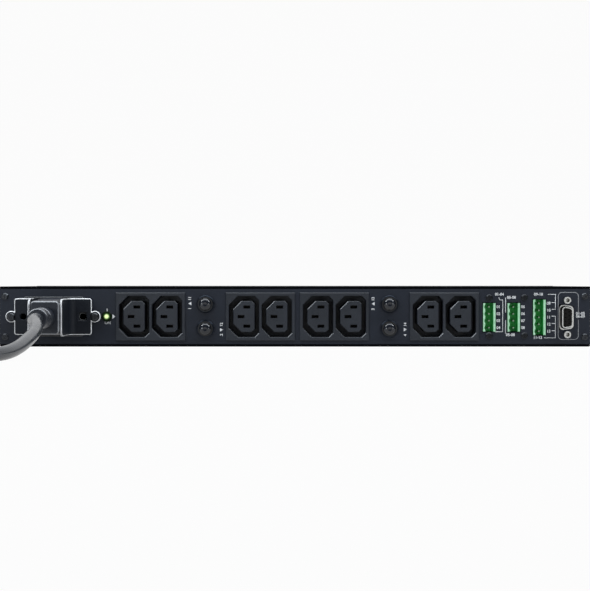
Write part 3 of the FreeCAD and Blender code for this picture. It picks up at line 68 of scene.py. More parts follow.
Colour = tuple[float, float, float]
Place = tuple[float, float, float]
Point = tuple[float, float]
Lines = tuple[tuple[Point, ...], ...]
Inputs = dict[str, object]
Face = bpy.types.MeshPolygon
Chosen = Callable[[Face], bool]
Material = bpy.types.Material
Mesh = bpy.types.Mesh
Node = bpy.types.Node
Object = bpy.types.Object
Socket = bpy.types.NodeSocket
SOCKET_KINDS = {float: "Float", int: "Int", tuple: "Vector", Material: "Material"}


class Axis(Enum):
    """The way that a surface was drawn, or that turns of wire follow each other."""

    ACROSS = "X"
    INWARD = "Y"
    UPWARD = "Z"

    def stretch(self, factor: float) -> Place:
        """Gives three scales, of which only the one along this axis isn't 1."""
        return tuple(factor if name == self.value else 1.0 for name in "XYZ")


class Turn(Enum):
    """The way that a printed triangle points, in degrees from the right."""

    RIGHT = 0.0
    LEFT = 180.0


def feed(socket: Socket, value: object) -> None:
    """Links an output into an input, or sets the input's own value.

    Args:
        socket: The input.
        value: An output, a node that stands for its first output, a number, a vector or a colour.
    """
    if isinstance(value, Node):
        value = value.outputs[0]
    if isinstance(value, Socket):
        socket.id_data.links.new(value, socket)
    elif socket.type == "RGBA":
        socket.default_value = (*value, 1.0)
    else:
        socket.default_value = value


class NodeTree:
    """A node tree, with one call that adds a node and feeds its inputs."""

    def __init__(self, tree: bpy.types.NodeTree, prefix: str) -> None:
        """Keeps the tree, and what its nodes' types start with."""
        self.tree = tree
        self.prefix = prefix

    def add(self, kind: str, *values: object, **settings: object) -> Node:
        """Adds a node.

        Args:
            kind: The node's type, without its prefix.
            values: What its first inputs get, in their order.
            settings: Its properties, in small letters, then other inputs, with a capital and with
                underscores for spaces.

        Returns:
            The node.
        """
        node = self.tree.nodes.new(self.prefix + kind)
        for key, value in settings.items():
            if key.islower():
                setattr(node, key, value)
            else:
                feed(node.inputs[key.replace("_", " ")], value)
        for socket, value in zip(node.inputs, values):
            feed(socket, value)
        return node


class Shader(NodeTree):
    """A material's node tree, with short calls for the nodes that the finishes share."""

    def __init__(self, name: str) -> None:
        """Makes a material with a lone Principled shader.

        Args:
            name: The material's name.
        """
        self.material = bpy.data.materials.new(name)
        self.material.use_nodes = True
        super().__init__(self.material.node_tree, "ShaderNode")
        self.surface = self.tree.nodes["Principled BSDF"]
        self.place = self.add("TexCoord").outputs["Object"]

    def paint(self, **inputs: object) -> Material:
        """Sets the Principled shader's inputs.

        Args:
            inputs: The inputs, with underscores for spaces.

        Returns:
            The finished material.
        """
        for key, value in inputs.items():
            feed(self.surface.inputs[key.replace("_", " ")], value)
        return self.material

    def scaled(self, scale: Place, origin: Place = (0.0, 0.0, 0.0)) -> Socket:
        """Gives the Object coordinates from another origin, times three factors."""
        size = tuple(1.0 / part for part in scale)
        return self.add("Mapping", self.place, origin, vector_type="TEXTURE", Scale=size).outputs[0]

    def noise(self, scale: float, detail: float = 3.0, vector: Socket | None = None) -> Socket:
        """Adds a noise from 0 to 1, by its grains for each metre and its octaves."""
        vector = vector or self.place
        return self.add("TexNoise", Vector=vector, Scale=scale, Detail=detail).outputs["Fac"]

    def compute(self, operation: str, *values: object) -> Socket:
        """Adds a Math node."""
        return self.add("Math", *values, operation=operation).outputs[0]

    def span(self, value: Socket, source: Point, target: Point = (0.0, 1.0)) -> Socket:
        """Maps one range to another, and clamps it."""
        return self.add("MapRange", value, *source, *target).outputs[0]

    def sheen(
        self, noise: Socket, usual: float, uneven: Point, reach: Point = NOISE_REACH,
    ) -> Socket:
        """Gives a roughness that strays from its usual value by a noise."""
        return self.span(noise, reach, (usual + uneven[0], usual + uneven[1]))

    def blend(self, factor: Socket, first: Colour, second: Colour) -> Socket:
        """Mixes two colours.

        Args:
            factor: 0 for the first colour, 1 for the second.
            first: The first colour.
            second: The second colour.

        Returns:
            The mixed colour.
        """
        node = self.add("Mix", factor, data_type="RGBA")
        colours = [socket for socket in node.inputs if socket.type == "RGBA"]
        for socket, colour in zip(colours, (first, second)):
            feed(socket, colour)
        return next(socket for socket in node.outputs if socket.type == "RGBA")

    def mottle(self, noise: Socket, first: Colour, second: Colour, end: float) -> Socket:
        """Mixes two colours by a noise, with the second alone from the end on."""
        return self.blend(self.span(noise, (MOTTLE_START, end)), first, second)

    def relief(self, height: Socket, depth: float) -> Socket:
        """Turns a height from 0 to 1 into a bumped normal, with its depth in metres."""
        return self.add("Bump", Height=height, Distance=depth).outputs["Normal"]


@dataclass(frozen=True)
class Finish(ABC):
    """A named finish, whose kind says how it looks."""

    name: str
    colour: Colour

    def material(self) -> Material:
        """Builds the finish."""
        shader = Shader(self.name)
        return shader.paint(**self.inputs(shader))

    @abstractmethod
    def inputs(self, shader: Shader) -> Inputs:
        """Says how the finish looks.

        Args:
            shader: The material's shader, which gets the nodes that the finish needs.

        Returns:
            The Principled shader's inputs, with underscores for spaces.
        """

    def tone(self, factor: float) -> Colour:
        """Gives the colour, darker or lighter."""
        return tuple(min(1.0, part * factor) for part in self.colour)

    def cover(self, *nodes: str) -> None:
        """Builds the finish and gives it to CAD nodes."""
        paint(self.material(), *nodes)


@dataclass(frozen=True)
class GrainedFinish(Finish):
    """A clouded tone and sheen over a fine grain; each noise has its scale and its octaves."""

    roughness: float = 0.45
    gloss: float = 0.4
    coat: float = 0.0
    cloud: Point = (60.0, 4.0)
    tones: Point = (0.9, 1.12)
    tone_end: float = 0.65
    uneven: Point = (-0.04, 0.06)
    grain: Point = (3600.0, 2.0)
    depth: float = 0.02 * MM

    def inputs(self, shader: Shader) -> Inputs:
        """Clouds the tone and the sheen, and grains the surface."""
        cloud = shader.noise(*self.cloud)
        first, second = (self.tone(factor) for factor in self.tones)
        tone = self.tone_noise(shader, cloud)
        return dict(
            Base_Color=shader.mottle(tone, first, second, self.tone_end),
            Roughness=shader.sheen(cloud, self.roughness, self.uneven),
            Specular_IOR_Level=self.gloss,
            Coat_Weight=self.coat,
            Normal=shader.relief(shader.noise(*self.grain), self.depth),
        )

    def tone_noise(self, shader: Shader, cloud: Socket) -> Socket:
        """Gives the noise of the tone, here the cloud itself."""
        return cloud


@dataclass(frozen=True)
class MouldedPlastic(GrainedFinish):
    """Moulded plastic with a spark-eroded grain and faint flow marks."""


@dataclass(frozen=True)
class PowderCoat(GrainedFinish):
    """Baked paint on sheet metal, with a fine orange peel and faint handling marks."""

    roughness: float = 0.5
    gloss: float = 0.35
    cloud: Point = (22.0, 5.0)
    tones: Point = (0.86, 1.16)
    uneven: Point = (-0.05, 0.07)
    grain: Point = (2600.0, 2.0)
    depth: float = 0.03 * MM
    fleck: Point = (1820.0, 2.0)
    shares: Point = (0.65, 0.35)

    def tone_noise(self, shader: Shader, cloud: Socket) -> Socket:
        """Adds flecks to the cloud, each with its share."""
        clouded = shader.compute("MULTIPLY", cloud, self.shares[0])
        return shader.compute("MULTIPLY_ADD", shader.noise(*self.fleck), self.shares[1], clouded)


@dataclass(frozen=True)
class CordSheath(GrainedFinish):
    """Extruded cord sheath: satin, with a fine grain and a little dust."""

    roughness: float = 0.4
    gloss: float = 0.8
    cloud: Point = (90.0, 5.0)
    tones: Point = (1.0, 1.25)
    tone_end: float = 0.7
    uneven: Point = (-0.04, 0.08)
    grain: Point = (2200.0, 3.0)
    depth: float = 0.0008 * MM


@dataclass(frozen=True)
class PlatedMetal(Finish):
    """Bare or plated metal, drawn or brushed one way."""

    roughness: float = 0.3
    metallic: float = 1.0
    along: Axis = Axis.UPWARD
    line_scale: float = 2400.0
    line_stretch: float = 0.04
    line_reach: Point = (0.25, 0.75)
    uneven: Point = (-0.06, 0.08)
    stain: Point = (140.0, 4.0)
    stain_end: float = 0.7
    stain_and_shade: float = 0.82
    depth: float = 0.006 * MM

    def inputs(self, shader: Shader) -> Inputs:
        """Stains the tone and draws fine lines along the metal."""
        stretched = shader.scaled(self.along.stretch(self.line_stretch))
        drawn = shader.noise(self.line_scale, vector=stretched)
        stain = shader.noise(*self.stain)
        return dict(
            Base_Color=shader.mottle(stain, self.colour, self.tone(self.stain_and_shade), self.stain_end),
            Metallic=self.metallic,
            Roughness=shader.sheen(drawn, self.roughness, self.uneven, self.line_reach),
            Normal=shader.relief(drawn, self.depth),
        )


@dataclass(frozen=True)
class EdgeLitPlastic(Finish):
    """Green plastic of thin walls, deep-coloured inside, with a painted highlight that makes the
    rims in front pale.
    """

    pale: Colour
    rim_y: float
    rim_depth: float = 2.2 * MM
    patch_scale: float = 420.0
    patch_reach: Point = (0.25, 0.7)
    patch_share: Point = (0.55, 1.0)
    roughness: Point = (0.34, 0.46)
    grain: Point = (3000.0, 2.0)
    depth: float = 0.012 * MM

    def inputs(self, shader: Shader) -> Inputs:
        """Paints a highlight on the rims in front, in patches."""
        inward = shader.add("SeparateXYZ", shader.place).outputs["Y"]
        rim = shader.span(inward, (self.rim_y, self.rim_y + self.rim_depth), (1.0, 0.0))
        patch = shader.noise(self.patch_scale)
        patches = shader.span(patch, self.patch_reach, self.patch_share)
        amount = shader.compute("MULTIPLY", rim, patches)
        return dict(
            # The painted highlight makes the rims in front pale.
            Base_Color=shader.blend(amount, self.colour, self.pale),
            Roughness=shader.span(patch, NOISE_REACH, self.roughness),
            Specular_IOR_Level=0.5,
            Normal=shader.relief(shader.noise(*self.grain), self.depth),
        )


@dataclass(frozen=True)
class LitLens(Finish):
    """A diffused lamp lens, brightest over the chip behind it."""

    centre: Place
    radius: float
    body: Colour = (0.008, 0.03, 0.003)
    unlit: Colour = (0.0, 0.004, 0.0)
    flatten: float = 0.0001
    cloud: Point = (900.0, 2.0)
    cloud_share: float = 0.2
    glow_shares: Point = (0.36, 0.8)

    def inputs(self, shader: Shader) -> Inputs:
        """Lights the lens by the distance from its axis."""
        across = shader.scaled(Axis.INWARD.stretch(self.flatten), self.centre)
        away = shader.add("VectorMath", across, operation="LENGTH").outputs["Value"]
        spread = self.radius * self.cloud_share
        reach = shader.compute("MULTIPLY_ADD", shader.noise(*self.cloud), spread, away)
        near, far = (self.radius * share for share in self.glow_shares)
        glow = shader.span(reach, (near, far), (1.0, 0.0))
        return dict(
            Base_Color=shader.blend(glow, self.body, self.colour),
            Roughness=0.3,
            Specular_IOR_Level=0.15,
            Emission_Color=shader.blend(glow, self.unlit, self.colour),
            Emission_Strength=0.9,
        )


@dataclass(frozen=True)
class BoardResist(Finish):
    """A circuit board under solder resist, with the copper's pattern just showing."""

    over_copper: Colour = (0.03, 0.16, 0.07)
    trace_scale: float = 110.0
    trace_start: float = 0.42
    depth: float = 0.03 * MM

    def inputs(self, shader: Shader) -> Inputs:
        """Lays traces of copper under the resist."""
        cells = shader.add(
            "TexVoronoi", distance="MANHATTAN", feature="F1", Vector=shader.place,
            Scale=self.trace_scale,
        ).outputs["Distance"]
        traces = shader.compute("GREATER_THAN", cells, self.trace_start)
        return dict(
            Base_Color=shader.blend(traces, self.colour, self.over_copper),
            Roughness=0.35,
            Normal=shader.relief(traces, self.depth),
        )


@dataclass(frozen=True)
class Winding(Finish):
    """Enamelled wire, or thin sheets, turn beside turn."""

    pitch: float = 1.1 * MM
    along: Axis = Axis.ACROSS
    wave_factor: float = 3.2
    gap_shade: float = 0.45
    depth: float = 0.3 * MM

    def inputs(self, shader: Shader) -> Inputs:
        """Rounds each turn, and paints shade in the gaps between them."""
        turns = shader.add(
            "TexWave", bands_direction=self.along.value, wave_profile="SIN", Vector=shader.place,
            Scale=1.0 / (self.pitch * self.wave_factor), Distortion=0.4,
        ).outputs["Fac"]
        return dict(
            # Painted shade in the gaps between turns.
            Base_Color=shader.blend(turns, self.tone(self.gap_shade), self.colour),
            Roughness=0.28,
            Coat_Weight=0.4,
            Normal=shader.relief(turns, self.depth),
        )


@dataclass(frozen=True)
class PrintInk(Finish):
    """Screen-printed ink, a little uneven at its edges."""

    wear: Point = (1500.0, 4.0)
    wear_end: float = 0.6
    worn_tone: float = 0.72
    depth: float = 0.01 * MM

    def inputs(self, shader: Shader) -> Inputs:
        """Wears the ink in fine spots."""
        wear_and_highlight = shader.noise(*self.wear)
        return dict(
            Base_Color=shader.mottle(
                wear_and_highlight, self.tone(self.worn_tone), self.colour, self.wear_end,
            ),
            Roughness=0.6,
            Specular_IOR_Level=0.2,
            Normal=shader.relief(wear_and_highlight, self.depth),
        )


def piece_from(name: str, data: bpy.types.ID, *materials: Material) -> Object:
    """Makes a scene object of data that already lies in its place.

    Args:
        name: The object's name.
        data: Its mesh, curve, text, lamp or camera.
        materials: Its materials, in slot order; none where the data has its own.

    Returns:
        The object.
    """
    for material in materials:
        data.materials.append(material)
    item = bpy.data.objects.new(name, data)
    bpy.context.scene.collection.objects.link(item)
    return item


def settle(item: Object, body: str = UNIT, stands_for: tuple[str, ...] = ()) -> None:
    """Rides a piece on its body and reports it.

    Args:
        item: The piece.
        body: The body that carries it.
        stands_for: The nodes that it replaces.
    """
    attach(item, body)
    if stands_for:
        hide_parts(*stands_for)
    LOG.info("%s rides on %s", item.name, body)


def paint(material: Material, *nodes: str) -> None:
    """Gives CAD nodes a finish.

    Args:
        material: The finish.
        nodes: The nodes' names.
    """
    for node in nodes:
        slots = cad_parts[node].data.materials
        slots.clear()
        slots.append(material)
        LOG.info("%s has %s", node, material.name)


def choose_faces(mesh: Mesh, chosen: Chosen) -> None:
    """Gives the chosen faces of a mesh its second material, and the others its first."""
    for face in mesh.polygons:
        face.material_index = int(chosen(face))


def paint_faces(material: Material, chosen: Chosen, *nodes: str) -> None:
    """Gives the chosen faces of painted CAD nodes a second finish.

    Args:
        material: The second finish.
        chosen: Tells whether a face is chosen.
        nodes: The nodes' names.
    """
    for node in nodes:
        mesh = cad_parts[node].data
        mesh.materials.append(material)
        choose_faces(mesh, chosen)


def faces_out(face: Face) -> bool:
    """Tells whether a face looks out of the rear panel."""
    return face.normal.y < FACES_OUT


def slants_out(face: Face) -> bool:
    """Tells whether a face slants out of the rear panel, as an eased edge does."""
    return LIT_SLANT[0] < -face.normal.y < LIT_SLANT[1]


def evaluated_mesh(item: Object) -> Mesh:
    """Gives an object's mesh with its modifiers applied, and removes the object.

    Args:
        item: An object that is needed no more.

    Returns:
        The plain mesh.
    """
    graph = bpy.context.evaluated_depsgraph_get()
    mesh = bpy.data.meshes.new_from_object(item.evaluated_get(graph), depsgraph=graph)
    bpy.data.objects.remove(item)
    return mesh


def mesh_from(work: bmesh.types.BMesh, name: str, sharp: float | None = None) -> Mesh:
    """Writes a bmesh to a new mesh, and frees it.

    Args:
        work: The bmesh.
        name: The mesh's name.
        sharp: Where it is to be smooth, the least angle of an edge that stays sharp, in degrees.

    Returns:
        The mesh.
    """
    mesh = bpy.data.meshes.new(name)
    for face in work.faces if sharp else ():
        face.smooth = True
    work.to_mesh(mesh)
    work.free()
    if sharp:
        mesh.set_sharp_from_angle(angle=math.radians(sharp))
    return mesh


def eased_mesh(node: str, width: float, segments: int = 2, sharp: float = 40.0) -> Mesh:
    """Copies a node's mesh and rounds its sharp edges, in its second material.

    Args:
        node: The CAD node.
        width: How far the rounding reaches on each side of an edge, in metres.
        segments: Faces across a rounding.
        sharp: The least angle, in degrees, of an edge that is rounded.

    Returns:
        The new mesh.
    """
    work = bmesh.new()
    work.from_mesh(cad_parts[node].data)
    bmesh.ops.remove_doubles(work, verts=work.verts, dist=MERGE_DISTANCE)
    flat = math.radians(FLAT_ANGLE)
    bmesh.ops.dissolve_limit(work, angle_limit=flat, verts=work.verts, edges=work.edges)
    edges = [edge for edge in work.edges if edge.calc_face_angle(0.0) > math.radians(sharp)]
    bmesh.ops.bevel(
        work, geom=edges, offset=width, segments=segments, profile=0.5, affect="EDGES",
        clamp_overlap=False, material=1,
    )
    item = piece_from(f"{node}_work", mesh_from(work, f"{node}_eased", EASED_SHARP_ANGLE))
    item.modifiers.new("weighted", "WEIGHTED_NORMAL").keep_sharp = True
    return evaluated_mesh(item)


def lathe_mesh(name: str, profile: list[Point], centre: Vector) -> Mesh:
    """Turns a profile about an axis along Y.

    Args:
        name: The mesh's name.
        profile: Radius and place along Y, in metres, from one end of the axis to the other.
        centre: A point of the axis; its Y is added to the profile's.

    Returns:
        The closed mesh.
    """
    work = bmesh.new()
    rings = []
    for radius, y in profile:
        ring = []
        for step in range(LATHE_STEPS if radius > 0 else 1):
            turn = 2 * math.pi * step / LATHE_STEPS
            offset = Vector((radius * math.cos(turn), y, radius * math.sin(turn)))
            ring.append(work.verts.new(centre + offset))
        rings.append(ring)
    for first, second in zip(rings, rings[1:]):
        for step in range(LATHE_STEPS):
            after = (step + 1) % LATHE_STEPS
            quad = [first[step % len(first)], first[after % len(first)],
                    second[after % len(second)], second[step % len(second)]]
            work.faces.new(list(dict.fromkeys(quad)))
    bmesh.ops.recalc_face_normals(work, faces=work.faces)
    return mesh_from(work, name, TURNED_SHARP_ANGLE)


def line_mesh(name: str, lines: Lines) -> Mesh:
    """Makes a mesh of bare edges on the XY plane.

    Args:
        name: The mesh's name.
        lines: The corners of each open line, in millimetres.

    Returns:
        The mesh.
    """
    corners, edges = [], []
    for line in lines:
        start = len(corners)
        corners += [(x * MM, y * MM, 0.0) for x, y in line]
        edges += [(start + i, start + i + 1) for i in range(len(line) - 1)]
    mesh = bpy.data.meshes.new(name)
    mesh.from_pydata(corners, edges, [])
    return mesh


def round_corner(x: float, y: float, radius: float, start: float) -> list[Point]:
    """Gives the points of a quarter circle, anticlockwise from an angle in degrees."""
    turns = [math.radians(start + 90.0 * step / CORNER_STEPS) for step in range(CORNER_STEPS + 1)]
    return [(x + radius * math.cos(turn), y + radius * math.sin(turn)) for turn in turns]


class GeometryTree(NodeTree):
    """A geometry node tree with named inputs, applied once to a mesh."""

    def __init__(self, name: str) -> None:
        """Makes an empty tree with a geometry input and a geometry output.

        Args:
            name: The tree's name.
        """
        super().__init__(bpy.data.node_groups.new(name, "GeometryNodeTree"), "GeometryNode")
        for way in ("OUTPUT", "INPUT"):
            self.tree.interface.new_socket("Geometry", in_out=way, socket_type="NodeSocketGeometry")
        self.source = self.tree.nodes.new("NodeGroupInput")
        self.values: dict[str, object] = {}

    def sizes(self, **values: object) -> list[Socket]:
        """Adds named inputs.

        Args:
            values: What the modifier gives them, by their names with underscores for spaces.

        Returns:
            The sockets that hold them in the tree.
        """
        names = [key.replace("_", " ") for key in values]
        for name, value in zip(names, values.values()):
            kind = f"NodeSocket{SOCKET_KINDS[type(value)]}"
            socket = self.tree.interface.new_socket(name, in_out="INPUT", socket_type=kind)
            self.values[socket.identifier] = value
        return [self.source.outputs[name] for name in names]

    def apply(self, shape: Node, finish: Socket, mesh: Mesh) -> Mesh:
        """Ends the tree with realized instances and their material, and runs it on a mesh.

        Args:
            shape: The last node of the shape.
            finish: The socket that holds the material.
            mesh: The mesh that the tree starts from.

        Returns:
            The plain mesh that it makes.
        """
        real = self.add("RealizeInstances", Geometry=shape)
        result = self.tree.nodes.new("NodeGroupOutput")
        feed(result.inputs[0], self.add("SetMaterial", Geometry=real, Material=finish))
        item = piece_from(f"{self.tree.name}_work", mesh)
        modifier = item.modifiers.new(self.tree.name, "NODES")
        modifier.node_group = self.tree
        for identifier, value in self.values.items():
            modifier[identifier] = value
        return evaluated_mesh(item)


@dataclass
class Casing:
    """Tray, lid, rear panel and front panel in powder coat, with their screws."""

    panel: Finish = PowderCoat("panel_paint", (0.0117, 0.0153, 0.0243), gloss=0.25)
    shell: Finish = PowderCoat("shell_paint", (0.0105, 0.0125, 0.0175), roughness=0.6, gloss=0.08)
    # Near black: painted shade on the rear edges of the tray and lid.
    rear_edge_shade: Finish = PowderCoat("casing_rear_edge_shade", (0.0022, 0.0025, 0.0035), 0.55, gloss=0.02)
    black: Finish = PlatedMetal("black_oxide", (0.028, 0.03, 0.033), roughness=0.34)
    grey: Finish = PlatedMetal("grey_oxide", (0.046, 0.049, 0.054))
    zinc: Finish = PlatedMetal("zinc_plate", (0.6, 0.61, 0.63))

    def dress(self) -> None:
        """Gives the sheet metal and the screws their finishes, with painted shade on the rear edges
        of the tray and lid.
        """
        self.panel.cover("rear_panel")
        self.shell.cover("chassis_tray", "top_cover", "front_panel")
        # The tray's and lid's faces that look out to the rear get the painted shade.
        paint_faces(self.rear_edge_shade.material(), faces_out, "chassis_tray", "top_cover")
        self.grey.cover("rear_panel_screws", "bracket_screws")
        self.black.cover("control_board_screws", "cover_screws")
        self.zinc.cover(
            "front_panel_screws", "board_screws", "board_standoffs", "control_board_spacers",
            "earth_stud", "bracket_spacers",
        )


@dataclass
class Inlet:
    """The AC inlet, its folded retention brackets and the cord's connector."""

    cut_edge: float = 0.6 * MM
    soft_edge: float = 0.6 * MM
    soft_segments: int = 3
    soft_sharp: float = 30.0
    flange_edge: float = 0.45 * MM
    hole_offset: float = 21.6 * MM
    hole_reach: float = 5.0 * MM
    arm_offset: float = 8.0 * MM
    arm_corner: float = 4.5 * MM
    lit_rise: float = 0.3
    black: Finish = PowderCoat("bracket_black", (0.011, 0.0134, 0.0185), 0.42, gloss=0.14)
    # Near white on the brackets' eased edges: a painted highlight.
    bracket_highlight: Finish = PlatedMetal("bracket_painted_highlight", (0.85, 0.86, 0.88), 0.45, metallic=0.3)
    moulding: Finish = MouldedPlastic("inlet_moulding", (0.013, 0.015, 0.02))
    # Lighter grey on the inlet's eased edges: a painted highlight.
    wear_and_highlight: Finish = MouldedPlastic("inlet_painted_highlight_edge", (0.09, 0.094, 0.1), roughness=0.35)
    vinyl: Finish = MouldedPlastic("connector_vinyl", (0.0105, 0.0135, 0.0215), roughness=0.42)
    # Light grey on the lit eased edges: a painted highlight.
    connector_highlight: Finish = MouldedPlastic("connector_painted_highlight", (0.26, 0.27, 0.29), roughness=0.3)

    def build(self) -> None:
        """Makes the brackets, the cord's mouldings and the inlet's body with a painted highlight on
        its eased edges.
        """
        self.brackets()
        self.cord_mouldings()
        flange = eased_mesh("inlet_body", self.flange_edge)
        finishes = self.moulding.material(), self.wear_and_highlight.material()
        inlet = piece_from("inlet_body_moulded", flange, *finishes)
        settle(inlet, stands_for=("inlet_body",))

    def brackets(self) -> None:
        """Eases the brackets' edges, with a painted highlight on them except at the holes and
        behind the left one's arm.
        """
        black, bracket_highlight = self.black.material(), self.bracket_highlight.material()
        low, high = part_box("inlet_body")
        middle = (low + high) / 2
        for side, way in (("left", -1.0), ("right", 1.0)):
            node = f"bracket_{side}"
            mesh = eased_mesh(node, self.cut_edge)
            hole = middle + Vector((way * self.hole_offset, 0.0, 0.0))
            tip_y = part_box(node)[0].y
            corner_y = tip_y + self.arm_corner
            # Eased faces at the holes and behind the left arm go without the painted highlight.
            for face in mesh.polygons:
                away = face.center - hole
                at_hole = math.hypot(away.x, away.z) < self.hole_reach
                behind_arm = way < 0 and away.x > self.arm_offset and face.center.y > corner_y
                if at_hole or behind_arm:
                    face.material_index = 0
            item = piece_from(f"{node}_folded", mesh, black, bracket_highlight)
            settle(item, stands_for=(node,))

    def cord_mouldings(self) -> None:
        """Softens the connector and the strain relief, with a painted highlight on their lit eased
        faces.
        """
        finishes = self.vinyl.material(), self.connector_highlight.material()
        for node in ("cord_connector", "cord_strain_relief"):
            mesh = eased_mesh(node, self.soft_edge, self.soft_segments, self.soft_sharp)
            for face in mesh.polygons:
                across, _, up = face.normal
                rise = max(across, abs(up)) if node == "cord_connector" else up
                # Faces that slant out towards the lights get the painted highlight.
                face.material_index = int(slants_out(face) and rise > self.lit_rise)
            item = piece_from(f"{node}_moulded", mesh, *finishes)
            settle(item, stands_for=(node,))


@dataclass
class Outlets:
    """The twin outlets with their contacts."""

    lit_rise: float = 0.2
    moulding: Finish = MouldedPlastic("outlet_moulding", (0.0135, 0.0172, 0.0245), roughness=0.42)
    # Light grey on edges that slant up and to the left: a painted highlight.
    lit_edge: Finish = MouldedPlastic("outlet_painted_highlight", (0.2, 0.21, 0.23), roughness=0.35)
    tarnished: Finish = PlatedMetal("contact_tarnished", (0.05, 0.048, 0.045), roughness=0.45)
    nickel: Finish = PlatedMetal("contact_nickel", (0.62, 0.6, 0.55))

    def dress(self) -> None:
        """Gives the outlets and every contact their finishes, with a painted highlight on the
        outlets' edges that slant up and to the left.
        """
        outlets = [f"outlet_pair_{number}" for number in FOUR]
        self.moulding.cover(*outlets)
        paint_faces(self.lit_edge.material(), self.lit, *outlets)
        self.tarnished.cover("outlet_contacts", "inlet_pins")
        self.nickel.cover("mains_plug_pins")

    def lit(self, face: Face) -> bool:
        """Tells whether a face is an edge that slants up and to the left."""
        return slants_out(face) and min(-face.normal.x, face.normal.z) > self.lit_rise


@dataclass
class Breakers:
    """The breakers with their clamping nuts and their rounded reset buttons."""

    dish: float = 0.12 * MM
    dish_share: float = 0.7
    flat_share: float = 0.33
    shoulder_turn: float = 52.0
    shoulder_steps: int = 12
    case: Finish = MouldedPlastic("breaker_moulding", (0.01, 0.011, 0.013), roughness=0.4)
    nut: Finish = PlatedMetal("nut_black", (0.019, 0.023, 0.031), roughness=0.38)
    knob: Finish = MouldedPlastic(
        "button_moulding", (0.008, 0.01, 0.0155), 0.12, gloss=0.45, depth=0.0005 * MM, coat=0.1,
    )

    def build(self) -> None:
        """Turns a button with a shallow dish and a rounded shoulder for each breaker."""
        finish = self.knob.material()
        for number in FOUR:
            node = f"reset_button_{number}"
            low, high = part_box(node)
            radius = (high.x - low.x) / 2
            middle = Vector(((low.x + high.x) / 2, 0.0, (low.z + high.z) / 2))
            flat = radius * self.flat_share
            bend = (radius - flat) / math.sin(math.radians(self.shoulder_turn))
            crown = [(0.0, low.y + self.dish), (flat * self.dish_share, low.y + self.dish)]
            for step in range(self.shoulder_steps + 1):
                turn = math.radians(self.shoulder_turn * step / self.shoulder_steps)
                crown.append((flat + bend * math.sin(turn), low.y + bend - bend * math.cos(turn)))
            mesh = lathe_mesh(node, crown + [(radius, high.y), (0.0, high.y)], middle)
            item = piece_from(f"{node}_cap", mesh, finish)
            settle(item, body=node, stands_for=(node,))

    def dress(self) -> None:
        """Gives the breakers and nuts their finishes."""
        self.case.cover(*[f"breaker_{number}" for number in FOUR])
        self.nut.cover("breaker_nuts")


@dataclass
class Lamp:
    """The lit indicator lamp."""

    glow: Colour = (0.62, 0.8, 0.36)
    holder: Finish = MouldedPlastic("lamp_holder_moulding", (0.002, 0.006, 0.0015), 0.4, gloss=0.1)

    def dress(self) -> None:
        """Gives the lens its glow and the holder its plastic."""
        low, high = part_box("lamp_lens")
        middle = tuple((low + high) / 2)
        LitLens("lamp_glow", self.glow, middle, (high.x - low.x) / 2).cover("lamp_lens")
        self.holder.cover("lamp_holder")


